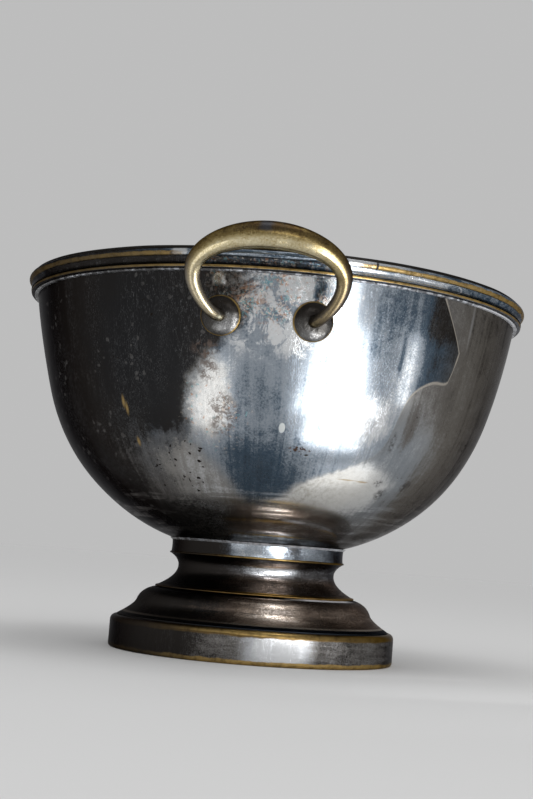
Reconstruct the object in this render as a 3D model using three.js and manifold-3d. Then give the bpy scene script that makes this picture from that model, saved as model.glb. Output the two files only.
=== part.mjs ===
import * as THREE from 'three';
import { mergeVertices } from 'three/addons/utils/BufferGeometryUtils.js';
import Module from 'manifold-3d';

// A two-handled trophy bowl: a spun bowl on a stepped foot, silver plate worn to brass.
// Millimetres, +Z up. The origin is the centre of the resting face, and the handles are at -Y and +Y.

const wasm = await Module();
wasm.setup();

// Faces round every large revolved piece, the same for all so that coaxial faces meet
const SEGMENTS = 40;
// Faces round the roundels and fastenings
const SMALL_SEGMENTS = 16;
// Gap kept between shaped faces that meet
const SEAT_GAP = 0.3;

// Bowl: its wall sweeps up from a flat floor, leans out at the mouth line and flares to the lip
const RIM_RADIUS = 170;
const RIM_REACH = 6.8;
const RIM_HEIGHT = 14;
const MOUTH_HEIGHT = 161.3;
const MOUTH_LEAN = THREE.MathUtils.degToRad(8.5);
const WALL_ARC = 447;
const FLARE_ARC = 44;
const FLOOR_FLAT = 17.7;
const BOWL_WALL = 2;

// Rim mount, strips stacked on the flared wall from the mouth line up, set back from the roll
const RIM_SOLDER_HEIGHT = 1.3;
const RIM_SOLDER_DEPTH = 2.2;
const BEAD_HEIGHT = 2.2;
const BEAD_SETBACK = 2;
const BAND_HEIGHT = 4.4;
const BAND_SETBACK = 1.8;
const BAND_HOLLOW = 1.2;
const ROLL_HEIGHT = 4.9;

// Collar between the foot and the bowl, with a ridge round its lower edge
const COLLAR_SPREAD = 5.5;
const COLLAR_HEIGHT = 10.2;
const COLLAR_WALL = 3.2;
const COLLAR_HOLLOW = 0.3;
const RIDGE_DEPTH = 0.9;
const RIDGE_HEIGHT = 1.4;
const SEAT_SOLDER_DEPTH = 1.3;
const SEAT_SOLDER_DROP = 1;

// Waist, the upper spinning of the foot, from under the collar down to the step
const FOOT_WALL = 2;
const WAIST_RADIUS = 53;
const WAIST_HEIGHT = 23;
const WAIST_DROP = 7.9;
const WAIST_LAND = 2;
const STEP_SPREAD = 14.6;
const STEP_EDGE = 1.3;

// Bell, the lower spinning of the foot, from the step over a shoulder to the base band
const BELL_HEIGHT = 20.2;
const BELL_LAND = 5.3;
const SEAM_SETBACK = 0.4;
const SHOULDER_SPREAD = 11.7;
const SHOULDER_DROP = 9.4;
const SHOULDER_SLANT = 2.6;
const SHOULDER_FALL = 2;
const BELL_SPREAD = 12;
const BELL_EDGE = 1.6;

// Base band, a drawn channel bent to a ring, open inwards
const BASE_SPREAD = 4.7;
const BASE_HEIGHT = 21.2;
const BASE_WALL = 2.5;
const BASE_SHOULDER = 3.8;
const BASE_EDGE = 1.8;
const GROOVE_DEPTH = 0.8;
const LEDGE_WIDTH = 5;
const REST_WIDTH = 6;

// Stud under the bowl, and the dished plate, washer and nut that draw the foot up to it
const STUD_RADIUS = 4;
const STUD_PAD_RADIUS = 11;
const STUD_PAD_HEIGHT = 2;
const STUD_END = 3;
const STUD_CHAMFER = 1;
const STUD_CLEARANCE = 0.3;
const PLATE_LIFT = 8.6;
const PLATE_THICKNESS = 2;
const PLATE_DISH = 4;
const PLATE_FLAT = 16;
const WASHER_RADIUS = 10;
const WASHER_THICKNESS = 1.6;
const NUT_ACROSS_FLATS = 13;
const NUT_HEIGHT = 6.5;

// Handles, a cast loop that tapers from its grip and turns in to a roundel at each end
const GRIP_RADIUS = 8;
const GRIP_END_RADIUS = 3.5;
const GRIP_TAPER = 2.8;
const GRIP_RISE = 0.5;
const FINGER_GAP = 23.6;
const LOOP_HALF_WIDTH = 43;
const LOOP_STANDOFF = 18;
const ROOT_SPREAD = 26.9;
const ROOT_DROP = 25.3;
const TURN_ANGLE = THREE.MathUtils.degToRad(55);
const TURN_REACH = 15;
const GRIP_SIDES = 12;
const LOOP_STEPS = 16;
const TURN_STEPS = 8;

// Roundels, and the spigots riveted over small washers inside the bowl
const ROUNDEL_RADIUS = 12;
const ROUNDEL_EDGE = 1.6;
const ROUNDEL_HEIGHT = 5;
const ROUNDEL_NECK = 4.6;
const SPIGOT_RADIUS = 2.5;
const SPIGOT_CLEARANCE = 0.3;
const ROVE_RADIUS = 6;
const ROVE_THICKNESS = 1.2;
const RIVET_HEAD_RADIUS = 3.8;
const RIVET_HEAD_HEIGHT = 1.6;
const DRILL_REACH = 8;

// How far along each curve its line turns, from 0 at the upper end to 1 at the lower end
const WAIST_TOP_TURN = 0.42;
const WAIST_FOOT_TURN = 0.52;
const BELL_TURN = 0.5;
const DOME_TURN = 0.35;

const silverPlate = { color: 0x9c9a96, roughness: 0.32, metalness: 1 };
const wornBrass = { color: 0xa8905a, roughness: 0.38, metalness: 1 };
const brightSolder = { color: 0xd4d6da, roughness: 0.25, metalness: 1 };
const rawBrass = { color: 0xb08d4f, roughness: 0.5, metalness: 1 };

const { lerp } = THREE.MathUtils;
const trophy = new THREE.Group();

function addPiece(name, geometry, finish, parent = trophy) {
  const mesh = new THREE.Mesh(geometry, new THREE.MeshStandardMaterial(finish));
  mesh.name = name;
  parent.add(mesh);
  return mesh;
}

// A point of an outline, by its distance from the axis and its height
const at = (radius, height) => new THREE.Vector2(radius, height);

// Turns a closed outline round the Z axis
function revolve(outline, segments = SEGMENTS) {
  const points = outline.map((point) => point.clone());
  if (THREE.ShapeUtils.isClockWise(points)) points.reverse();
  points.push(points[0].clone());
  return new THREE.LatheGeometry(points, segments).rotateX(Math.PI / 2);
}

// Points on an arc round a centre, from one angle to another
function arc(centre, radius, from, to, steps) {
  const points = [];
  for (let i = 0; i <= steps; i += 1) {
    const angle = lerp(from, to, i / steps);
    points.push(at(centre.x + radius * Math.cos(angle), centre.y + radius * Math.sin(angle)));
  }
  return points;
}

// A smooth sweep from one point to the next, drawn towards a control point
function sweepTo(start, control, end, steps) {
  return new THREE.QuadraticBezierCurve(start, control, end).getPoints(steps);
}

// A rounded nose, bulging out to a radius between two heights
function noseFace(radius, height, steps) {
  const round = height / 2;
  return arc(at(radius - round, round), round, -Math.PI / 2, Math.PI / 2, steps);
}

// Radius of a line at one height
function radiusAt(points, height) {
  for (let i = 1; i < points.length; i += 1) {
    const [a, b] = [points[i - 1], points[i]];
    if ((a.y - height) * (b.y - height) <= 0 && a.y !== b.y) {
      return lerp(a.x, b.x, (height - a.y) / (b.y - a.y));
    }
  }
  return points[points.length - 1].x;
}

// The inner side of a spun wall: its outer line moved in by the wall, between two heights
function innerLine(outer, wall, high, low) {
  const moved = outer.map((point, i) => {
    const before = outer[Math.max(i - 1, 0)];
    const after = outer[Math.min(i + 1, outer.length - 1)];
    const along = after.clone().sub(before).normalize();
    return at(point.x + along.y * wall, point.y - along.x * wall);
  });
  const between = moved.filter((point) => point.y < high - SEAT_GAP && point.y > low + SEAT_GAP);
  return [...between, at(radiusAt(moved, low), low)];
}

function toManifold(geometry) {
  const bare = geometry.index ? geometry.toNonIndexed() : geometry.clone();
  bare.deleteAttribute('normal');
  bare.deleteAttribute('uv');
  const merged = mergeVertices(bare, 1e-4);
  const triVerts = Uint32Array.from(merged.index.array);
  const vertProperties = Float32Array.from(merged.attributes.position.array);
  return new wasm.Manifold(new wasm.Mesh({ numProp: 3, vertProperties, triVerts }));
}

function fromManifold(solid) {
  const mesh = solid.getMesh();
  const geometry = new THREE.BufferGeometry();
  geometry.setAttribute('position', new THREE.BufferAttribute(Float32Array.from(mesh.vertProperties), 3));
  geometry.setIndex(new THREE.BufferAttribute(Uint32Array.from(mesh.triVerts), 1));
  geometry.computeVertexNormals();
  return geometry;
}

// Radii and heights of the foot, stacked up from the resting face
const collarRadius = WAIST_RADIUS + COLLAR_SPREAD;
const stepRadius = WAIST_RADIUS + STEP_SPREAD;
const shoulderRadius = stepRadius + SHOULDER_SPREAD;
const bellRadius = shoulderRadius + BELL_SPREAD;
const baseRadius = bellRadius + BASE_SPREAD;
const ledgeHeight = BASE_HEIGHT - GROOVE_DEPTH;
const stepHeight = BASE_HEIGHT + BELL_HEIGHT;
const collarLow = stepHeight + WAIST_HEIGHT;
const footHeight = collarLow + COLLAR_HEIGHT;

// Arcs of the bowl's outer line, in heights above its floor: the belly meets floor and wall smoothly
const mouthRadius = RIM_RADIUS - RIM_REACH;
const wallCentre = at(
  mouthRadius - WALL_ARC * Math.cos(MOUTH_LEAN),
  MOUTH_HEIGHT + WALL_ARC * Math.sin(MOUTH_LEAN),
);
const bellyArc =
  (WALL_ARC ** 2 - (FLOOR_FLAT - wallCentre.x) ** 2 - wallCentre.y ** 2) / (2 * (WALL_ARC - wallCentre.y));
const bellyCentre = at(FLOOR_FLAT, bellyArc);
const bellyTurn = Math.acos((wallCentre.y - bellyArc) / (WALL_ARC - bellyArc));
const collarTurn = Math.asin((collarRadius - FLOOR_FLAT) / bellyArc);
const flareCentre = at(
  mouthRadius + FLARE_ARC * Math.cos(MOUTH_LEAN),
  MOUTH_HEIGHT - FLARE_ARC * Math.sin(MOUTH_LEAN),
);
const lipRound = BOWL_WALL / 2;
const lipLean = Math.asin((MOUTH_HEIGHT + RIM_HEIGHT - lipRound - flareCentre.y) / FLARE_ARC);

// Height of the belly's underside at a radius
function bellyHeight(radius) {
  return bellyArc - Math.sqrt(bellyArc ** 2 - (radius - FLOOR_FLAT) ** 2);
}

// Outer radius of the flared wall above the mouth line
function flareRadius(height) {
  return flareCentre.x - Math.sqrt(FLARE_ARC ** 2 - (height - flareCentre.y) ** 2);
}

// The bowl stands on the collar, so its place follows from both
const bowlBase = footHeight + SEAT_GAP - bellyHeight(collarRadius);
const mouthLine = bowlBase + MOUTH_HEIGHT;

// Outer or inner line of the bowl, from the middle of its floor to its lip
function bowlLine(inset) {
  const down = -Math.PI / 2;
  const floor = arc(bellyCentre, bellyArc - inset, down, down + collarTurn, 2);
  const belly = arc(bellyCentre, bellyArc - inset, down + collarTurn, down + bellyTurn, 5);
  const wall = arc(wallCentre, WALL_ARC - inset, down + bellyTurn, -MOUTH_LEAN, 3);
  const flare = arc(flareCentre, FLARE_ARC + inset, Math.PI - MOUTH_LEAN, Math.PI - lipLean, 3);
  return [at(0, inset), ...floor, ...belly.slice(1), ...wall.slice(1), ...flare.slice(1)];
}

function bowlGeometry() {
  const outer = bowlLine(0);
  const inner = bowlLine(BOWL_WALL);
  const lipCentre = outer[outer.length - 1].clone().lerp(inner[inner.length - 1], 0.5);
  const lip = arc(lipCentre, lipRound, -lipLean, Math.PI - lipLean, 3).slice(1, -1);
  const outline = [...outer, ...lip, ...inner.reverse()];
  outline.forEach((point) => point.setY(point.y + bowlBase));
  return revolve(outline);
}

// A strip of the rim mount: its back lies on the flared wall, its face is the given line
function rimStrip(low, height, face) {
  const back = [low + height, low].map((level) => at(flareRadius(level) + SEAT_GAP, level + bowlBase));
  const front = face.map((point) => at(point.x, point.y + low + bowlBase));
  return revolve([...front, ...back]);
}

function addRim() {
  const beadLow = MOUTH_HEIGHT + RIM_SOLDER_HEIGHT;
  const bandLow = beadLow + BEAD_HEIGHT;
  const rollLow = bandLow + BAND_HEIGHT;
  const bandRadius = RIM_RADIUS - BAND_SETBACK;
  const solderFace = noseFace(mouthRadius + SEAT_GAP + RIM_SOLDER_DEPTH, RIM_SOLDER_HEIGHT, 2);
  const beadFace = noseFace(RIM_RADIUS - BEAD_SETBACK, BEAD_HEIGHT, 4);
  const bandFace = sweepTo(
    at(bandRadius, 0),
    at(bandRadius - 2 * BAND_HOLLOW, BAND_HEIGHT / 2),
    at(bandRadius, BAND_HEIGHT),
    3,
  );
  const rollFace = noseFace(RIM_RADIUS, ROLL_HEIGHT, 4);
  addPiece('rim_solder', rimStrip(MOUTH_HEIGHT, RIM_SOLDER_HEIGHT, solderFace), brightSolder);
  addPiece('rim_bead', rimStrip(beadLow, BEAD_HEIGHT, beadFace), wornBrass);
  addPiece('rim_band', rimStrip(bandLow, BAND_HEIGHT, bandFace), silverPlate);
  addPiece('rim_roll', rimStrip(rollLow, ROLL_HEIGHT, rollFace), wornBrass);
}

// The collar and the solder round it both come up to the bowl's underside
const undersideAt = (radius) => bowlBase + bellyHeight(radius) - SEAT_GAP;

function collarGeometry() {
  const inside = collarRadius - COLLAR_WALL;
  const faceLow = collarLow + RIDGE_HEIGHT;
  const ridge = noseFace(collarRadius + RIDGE_DEPTH, RIDGE_HEIGHT, 2);
  const face = sweepTo(
    at(collarRadius, faceLow),
    at(collarRadius - 2 * COLLAR_HOLLOW, lerp(faceLow, footHeight, 0.5)),
    at(collarRadius, footHeight),
    2,
  );
  return revolve([
    at(inside, collarLow),
    ...ridge.map((point) => at(point.x, point.y + collarLow)),
    ...face,
    at(inside, undersideAt(inside)),
  ]);
}

function seatSolderGeometry() {
  const near = collarRadius + SEAT_GAP;
  const far = near + SEAT_SOLDER_DEPTH;
  return revolve([
    at(near, footHeight - SEAT_SOLDER_DROP),
    at(far, undersideAt(far)),
    at(near, undersideAt(near)),
  ]);
}

// The waist hollows in under the collar, then spreads to the step's thin edge
const waistNarrow = at(WAIST_RADIUS, collarLow - WAIST_DROP);
const stepTop = stepHeight + STEP_EDGE;
const waistLine = [
  ...sweepTo(
    at(collarRadius, collarLow),
    at(WAIST_RADIUS, lerp(collarLow, waistNarrow.y, WAIST_TOP_TURN)),
    waistNarrow,
    3,
  ),
  ...sweepTo(
    waistNarrow,
    at(WAIST_RADIUS, lerp(waistNarrow.y, stepTop, WAIST_FOOT_TURN)),
    at(stepRadius - STEP_EDGE, stepTop),
    5,
  ).slice(1),
];
const waistInner = innerLine(waistLine, FOOT_WALL, collarLow, stepHeight);

function waistGeometry() {
  return revolve([
    ...waistLine,
    at(stepRadius, stepTop),
    at(stepRadius, stepHeight),
    ...waistInner.slice().reverse(),
    at(collarRadius - WAIST_LAND, collarLow),
  ]);
}

// The bell swells over its shoulder and sweeps out to a thin edge on the base band's ledge
const shoulder = at(shoulderRadius, stepHeight - SHOULDER_DROP);
const shoulderUpper = at(shoulder.x - SHOULDER_SLANT, stepHeight - SHOULDER_FALL);
const shoulderLower = shoulder.clone().lerp(shoulderUpper, -BELL_TURN);
const bellEdge = at(bellRadius, ledgeHeight + BELL_EDGE);
const bellLine = [
  ...sweepTo(at(stepRadius - SEAM_SETBACK, stepHeight), shoulderUpper, shoulder, 4),
  ...sweepTo(shoulder, shoulderLower, bellEdge, 4).slice(1),
];
const bellInner = innerLine(bellLine, FOOT_WALL, stepHeight - FOOT_WALL, ledgeHeight);

function bellGeometry() {
  const land = stepRadius - BELL_LAND;
  return revolve([
    at(land, stepHeight),
    ...bellLine,
    at(bellRadius, ledgeHeight),
    ...bellInner.slice().reverse(),
    at(land, stepHeight - FOOT_WALL),
  ]);
}

// The base band: a rounded shoulder round the bell's edge, a plain side and a flat rest
function baseBandGeometry() {
  const shoulderCentre = at(baseRadius - BASE_SHOULDER, BASE_HEIGHT - BASE_SHOULDER);
  const edgeCentre = at(baseRadius - BASE_EDGE, BASE_EDGE);
  const inner = baseRadius - BASE_WALL;
  const ledge = bellRadius - LEDGE_WIDTH;
  const rest = edgeCentre.x - REST_WIDTH;
  return revolve([
    at(rest, 0),
    ...arc(edgeCentre, BASE_EDGE, -Math.PI / 2, 0, 2),
    ...arc(shoulderCentre, BASE_SHOULDER, 0, Math.PI / 2, 3),
    at(bellRadius + SEAT_GAP, ledgeHeight),
    at(ledge, ledgeHeight),
    at(ledge, ledgeHeight - BASE_WALL),
    at(inner, ledgeHeight - BASE_WALL),
    at(inner, BASE_WALL),
    at(rest, BASE_WALL),
  ]);
}

// The plate's rim bears on the waist's inner side, and its dished middle takes the nut's pull
const plateRimHeight = stepHeight + PLATE_LIFT;
const plateRadius = radiusAt(waistInner, plateRimHeight) - SEAT_GAP;
const plateUnder = plateRimHeight + PLATE_DISH - PLATE_THICKNESS;
const washerUnder = plateUnder - WASHER_THICKNESS;
const nutUnder = washerUnder - NUT_HEIGHT;
const boltHole = STUD_RADIUS + STUD_CLEARANCE;

function studGeometry() {
  const end = nutUnder - STUD_END;
  return revolve([
    at(0, bowlBase),
    at(STUD_PAD_RADIUS, bowlBase),
    at(STUD_PAD_RADIUS, bowlBase - STUD_PAD_HEIGHT),
    at(STUD_RADIUS, bowlBase - STUD_PAD_HEIGHT),
    at(STUD_RADIUS, end + STUD_CHAMFER),
    at(STUD_RADIUS - STUD_CHAMFER, end),
    at(0, end),
  ], SMALL_SEGMENTS);
}

function plateGeometry() {
  return revolve([
    at(boltHole, plateUnder),
    at(PLATE_FLAT, plateUnder),
    at(plateRadius, plateRimHeight - PLATE_THICKNESS),
    at(plateRadius, plateRimHeight),
    at(PLATE_FLAT, plateUnder + PLATE_THICKNESS),
    at(boltHole, plateUnder + PLATE_THICKNESS),
  ]);
}

function washerGeometry() {
  return revolve([
    at(boltHole, washerUnder),
    at(WASHER_RADIUS, washerUnder),
    at(WASHER_RADIUS, plateUnder),
    at(boltHole, plateUnder),
  ], SMALL_SEGMENTS);
}

function nutGeometry() {
  const corner = NUT_ACROSS_FLATS / Math.sqrt(3);
  const hexagon = new THREE.Shape(arc(at(0, 0), corner, 0, 2 * Math.PI, 6).slice(0, -1));
  hexagon.holes.push(new THREE.Path().absarc(0, 0, boltHole, 0, 2 * Math.PI, true));
  const body = new THREE.ExtrudeGeometry(hexagon, {
    depth: NUT_HEIGHT, bevelEnabled: false, curveSegments: SMALL_SEGMENTS,
  });
  return body.translate(0, 0, nutUnder);
}

// Where a handle's foot meets the wall, with the wall's outward normal there
const rootHeight = mouthLine - ROOT_DROP;
const rootPitch = Math.asin((wallCentre.y + bowlBase - rootHeight) / WALL_ARC);
const rootRadius = wallCentre.x + WALL_ARC * Math.cos(rootPitch);
const rootTurn = Math.asin(ROOT_SPREAD / rootRadius);

function rootAt(side) {
  const turn = side * rootTurn;
  const outward = new THREE.Vector3(
    Math.sin(turn) * Math.cos(rootPitch),
    -Math.cos(turn) * Math.cos(rootPitch),
    -Math.sin(rootPitch),
  );
  const point = new THREE.Vector3(rootRadius * Math.sin(turn), -rootRadius * Math.cos(turn), rootHeight);
  return { point, outward };
}

// Depths along a root's outward normal, from the roundel's face to the riveted head inside
const facetSag = rootRadius * (1 - Math.cos(Math.PI / SEGMENTS));
const landingDepth = ROUNDEL_HEIGHT + SEAT_GAP;
const roveTop = -(BOWL_WALL + facetSag + SEAT_GAP);
const headTop = roveTop - ROVE_THICKNESS - SEAT_GAP;

// The loop leans out from its roots to a grip that clears the rim by the finger gap
const loopTop = new THREE.Vector3(
  0,
  -(RIM_RADIUS + FINGER_GAP + GRIP_RADIUS),
  mouthLine + RIM_HEIGHT + GRIP_RISE,
);
const loopFoot = new THREE.Vector3(
  0,
  -(rootRadius * Math.cos(rootTurn) + LOOP_STANDOFF),
  rootHeight + LOOP_STANDOFF * Math.tan(rootPitch),
);
const loopUp = loopTop.clone().sub(loopFoot).normalize();
const loopEnd = Math.PI - Math.asin(ROOT_SPREAD / LOOP_HALF_WIDTH);
const loopRise = loopTop.distanceTo(loopFoot) / (1 - Math.cos(loopEnd));
const loopCentre = loopTop.clone().addScaledVector(loopUp, -loopRise);

class LoopArc extends THREE.Curve {
  getPoint(t, target = new THREE.Vector3()) {
    const angle = lerp(TURN_ANGLE - loopEnd, loopEnd - TURN_ANGLE, t);
    target.copy(loopCentre);
    target.x += LOOP_HALF_WIDTH * Math.sin(angle);
    return target.addScaledVector(loopUp, loopRise * Math.cos(angle));
  }
}

const mirror = (v) => new THREE.Vector3(-v.x, v.y, v.z);

// Centre line of the handle from root to root: the loop, with a turn into the wall at each end
function handleLine(landing, outward) {
  const loop = new LoopArc();
  const turnIn = new THREE.CubicBezierCurve3(
    loop.getPoint(1),
    loop.getPoint(1).addScaledVector(loop.getTangent(1), TURN_REACH),
    landing.clone().addScaledVector(outward, TURN_REACH),
    landing,
  );
  const line = [];
  for (let i = 0; i < TURN_STEPS; i += 1) {
    const t = 1 - i / TURN_STEPS;
    line.push({ point: mirror(turnIn.getPoint(t)), along: mirror(turnIn.getTangent(t)).negate() });
  }
  for (let i = 0; i <= LOOP_STEPS; i += 1) {
    line.push({ point: loop.getPointAt(i / LOOP_STEPS), along: loop.getTangentAt(i / LOOP_STEPS) });
  }
  for (let i = 1; i <= TURN_STEPS; i += 1) {
    line.push({ point: turnIn.getPoint(i / TURN_STEPS), along: turnIn.getTangent(i / TURN_STEPS) });
  }
  return line;
}

// Radii along the centre line: full at the grip, drawn down towards both roots
function taper(line) {
  let travelled = 0;
  line.forEach((station, i) => {
    if (i > 0) travelled += station.point.distanceTo(line[i - 1].point);
    station.travelled = travelled;
  });
  line.forEach((station) => {
    const fromMiddle = Math.abs((2 * station.travelled) / travelled - 1);
    const swell = Math.max(Math.cos((Math.PI / 2) * fromMiddle), 0) ** GRIP_TAPER;
    station.radius = lerp(GRIP_END_RADIUS, GRIP_RADIUS, swell);
  });
}

// Stations of the whole casting: riveted head, spigot, tapered loop, spigot, riveted head
function handleStations() {
  const { point, outward } = rootAt(1);
  const onNormal = (depth) => point.clone().addScaledVector(outward, depth);
  const line = handleLine(onNormal(landingDepth), outward);
  taper(line);
  const spigot = [
    [landingDepth, SPIGOT_RADIUS],
    [headTop, SPIGOT_RADIUS],
    [headTop, RIVET_HEAD_RADIUS],
    [headTop - RIVET_HEAD_HEIGHT / 2, RIVET_HEAD_RADIUS],
    [headTop - RIVET_HEAD_HEIGHT, RIVET_HEAD_RADIUS / 2],
  ];
  const inward = outward.clone().negate();
  const right = spigot.map(([depth, radius]) => ({ point: onNormal(depth), along: inward, radius }));
  const left = right.map((station) => ({
    point: mirror(station.point),
    along: mirror(station.along).negate(),
    radius: station.radius,
  })).reverse();
  return [...left, ...line, ...right];
}

// A closed round body through stations, its rings carried along without twisting
function loft(stations, sides) {
  const positions = [];
  const index = [];
  let across = new THREE.Vector3(0, 0, 1);
  stations.forEach(({ point, along, radius }) => {
    across = across.clone().addScaledVector(along, -across.dot(along)).normalize();
    const third = new THREE.Vector3().crossVectors(along, across);
    for (let k = 0; k < sides; k += 1) {
      const angle = (2 * Math.PI * k) / sides;
      const corner = point.clone()
        .addScaledVector(across, radius * Math.cos(angle))
        .addScaledVector(third, radius * Math.sin(angle));
      positions.push(corner.x, corner.y, corner.z);
    }
  });
  for (let i = 0; i + 1 < stations.length; i += 1) {
    for (let k = 0; k < sides; k += 1) {
      const a = i * sides + k;
      const b = i * sides + ((k + 1) % sides);
      index.push(a, b, b + sides, a, b + sides, a + sides);
    }
  }
  const last = (stations.length - 1) * sides;
  for (let k = 1; k + 1 < sides; k += 1) {
    index.push(0, k + 1, k);
    index.push(last, last + k, last + k + 1);
  }
  const geometry = new THREE.BufferGeometry();
  geometry.setAttribute('position', new THREE.Float32BufferAttribute(positions, 3));
  geometry.setIndex(index);
  geometry.computeVertexNormals();
  return geometry;
}

// Places a piece made about its own Z axis on a root, its Z along the wall's outward normal
function seatOnRoot(geometry, side) {
  const { point, outward } = rootAt(side);
  const turn = new THREE.Quaternion().setFromUnitVectors(new THREE.Vector3(0, 0, 1), outward);
  return geometry.applyQuaternion(turn).translate(point.x, point.y, point.z);
}

const spigotHole = SPIGOT_RADIUS + SPIGOT_CLEARANCE;

// A domed roundel with a flat neck where the handle lands
function roundelGeometry() {
  const domeFoot = at(ROUNDEL_RADIUS, ROUNDEL_EDGE);
  const domeTop = at(ROUNDEL_NECK, ROUNDEL_HEIGHT);
  const control = at(lerp(domeFoot.x, domeTop.x, DOME_TURN), ROUNDEL_HEIGHT);
  return revolve([
    at(spigotHole, SEAT_GAP),
    at(ROUNDEL_RADIUS, SEAT_GAP),
    ...sweepTo(domeFoot, control, domeTop, 4),
    at(spigotHole, ROUNDEL_HEIGHT),
  ], SMALL_SEGMENTS);
}

function roveGeometry() {
  return revolve([
    at(spigotHole, roveTop - ROVE_THICKNESS),
    at(ROVE_RADIUS, roveTop - ROVE_THICKNESS),
    at(ROVE_RADIUS, roveTop),
    at(spigotHole, roveTop),
  ], SMALL_SEGMENTS);
}

// The bowl's wall is drilled for the four spigots
function drilledBowl() {
  let solid = toManifold(bowlGeometry());
  [1, -1].forEach((side) => {
    const drill = new THREE.CylinderGeometry(spigotHole, spigotHole, 2 * DRILL_REACH, SMALL_SEGMENTS);
    const front = seatOnRoot(drill.rotateX(Math.PI / 2), side);
    const rear = front.clone().rotateZ(Math.PI);
    solid = solid.subtract(toManifold(front)).subtract(toManifold(rear));
  });
  return fromManifold(solid);
}

function addHandle(place, turn) {
  const group = new THREE.Group();
  group.rotation.z = turn;
  trophy.add(group);
  addPiece(`handle_${place}`, loft(handleStations(), GRIP_SIDES), wornBrass, group);
  [['right', 1], ['left', -1]].forEach(([hand, side]) => {
    addPiece(`roundel_${place}_${hand}`, seatOnRoot(roundelGeometry(), side), silverPlate, group);
    addPiece(`rove_${place}_${hand}`, seatOnRoot(roveGeometry(), side), rawBrass, group);
  });
}

addPiece('bowl', drilledBowl(), silverPlate);
addRim();
addPiece('seat_solder', seatSolderGeometry(), brightSolder);
addPiece('foot_collar', collarGeometry(), silverPlate);
addPiece('foot_waist', waistGeometry(), silverPlate);
addPiece('foot_bell', bellGeometry(), silverPlate);
addPiece('base_band', baseBandGeometry(), silverPlate);
addPiece('bowl_stud', studGeometry(), rawBrass);
addPiece('clamp_plate', plateGeometry(), rawBrass);
addPiece('clamp_washer', washerGeometry(), rawBrass);
addPiece('clamp_nut', nutGeometry(), rawBrass);
addHandle('front', 0);
addHandle('rear', Math.PI);

export default trophy;
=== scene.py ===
import math

import bpy
from mathutils import Matrix, Vector


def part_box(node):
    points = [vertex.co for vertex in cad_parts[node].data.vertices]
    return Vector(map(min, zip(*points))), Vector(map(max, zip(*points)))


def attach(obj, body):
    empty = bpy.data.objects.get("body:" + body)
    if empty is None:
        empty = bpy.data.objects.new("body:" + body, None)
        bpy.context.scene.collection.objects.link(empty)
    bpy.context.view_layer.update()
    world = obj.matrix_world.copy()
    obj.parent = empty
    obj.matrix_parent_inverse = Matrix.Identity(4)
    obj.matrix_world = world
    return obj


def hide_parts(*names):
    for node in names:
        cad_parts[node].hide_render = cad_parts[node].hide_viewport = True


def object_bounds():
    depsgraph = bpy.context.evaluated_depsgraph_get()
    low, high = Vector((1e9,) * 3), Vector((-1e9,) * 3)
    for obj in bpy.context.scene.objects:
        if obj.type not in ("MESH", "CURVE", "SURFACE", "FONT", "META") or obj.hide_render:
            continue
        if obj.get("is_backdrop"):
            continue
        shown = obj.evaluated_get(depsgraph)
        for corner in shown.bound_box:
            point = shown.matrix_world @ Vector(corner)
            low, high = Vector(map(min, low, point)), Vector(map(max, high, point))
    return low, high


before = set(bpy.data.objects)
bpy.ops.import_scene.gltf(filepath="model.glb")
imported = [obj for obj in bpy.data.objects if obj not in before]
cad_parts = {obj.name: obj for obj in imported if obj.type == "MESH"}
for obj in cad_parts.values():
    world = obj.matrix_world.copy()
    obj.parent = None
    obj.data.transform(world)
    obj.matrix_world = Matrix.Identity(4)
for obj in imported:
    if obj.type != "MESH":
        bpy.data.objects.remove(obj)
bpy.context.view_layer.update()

# Base band. A drawn brass channel, plated and bent to a ring, that the bowl stands on. Its
# rounded shoulder and lower edge are worn to the brass. The foot's bell sits inside its shoulder.
BAND_WALL = 0.0025
BAND_SHOULDER = 0.0038
BAND_EDGE = 0.0018
BAND_REST = 0.006
BAND_LEDGE = 0.005
SEAT_GAP = 0.0003
SPIN_STEPS = 192
MERGE_GAP = 1e-6
SEAM_GAP = 2e-6
SMOOTH_ANGLE = math.radians(32)
QUARTER = math.pi / 2

CLEAN_SILVER = (0.72, 0.735, 0.75, 1)
HAZE_SILVER = (0.30, 0.34, 0.385, 1)
NAVY_TARNISH = (0.06, 0.09, 0.125, 1)
WARM_TARNISH = (0.155, 0.146, 0.138, 1)
BROWN_TARNISH = (0.125, 0.094, 0.074, 1)
# Dark tarnish, and also the colour of the painted shade on the side towards -X
DARK_TARNISH_AND_SHADE = (0.028, 0.025, 0.023, 1)
COOL_TARNISH = (0.0236, 0.0251, 0.0279, 1)
LIP_SHADE = (0.03, 0.027, 0.024, 1)
PIT_COLOUR = (0.018, 0.014, 0.011, 1)
DROP_COLOUR = (0.3, 0.29, 0.28, 1)
SCRATCH_COLOUR = (0.62, 0.63, 0.65, 1)
WORN_BRASS = (0.42, 0.285, 0.105, 1)
DIM_BRASS = (0.15, 0.098, 0.035, 1)
DARK_BRASS = (0.07, 0.045, 0.018, 1)
DARK_EDGE = (0.35, 0.35, 0.36, 1)
DULL = 0.4
STAINED = 0.34
BARE = 0.3
BUMP = 0.00012

# What makes the tarnish: noise as its share, scale, detail, roughness and distortion, the share
# and scale of the fine grain, and the depths between which each tone takes over
STAIN_CLOUDS = ((0.5, 9, 3, 0.5, 0.6), (0.45, 52, 6, 0.66, 0.8))
GRAIN_SHARE = 1.2
GRAIN_SCALE = 800
FIRST_DEPTH = 0.025
TONE_DEPTHS = {"Haze": (0.08, 0.42), "Warm": (0.42, 0.68), "Dark": (0.68, 0.98)}

# Hairlines as the turns of their three directions and how far each is drawn out
HAIRLINE_WAYS = (((0.3, 0.5, 0.2), 26), ((1.1, 0.2, 1.4), 18), ((0.6, 2.0, 2.5), 34))

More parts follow.
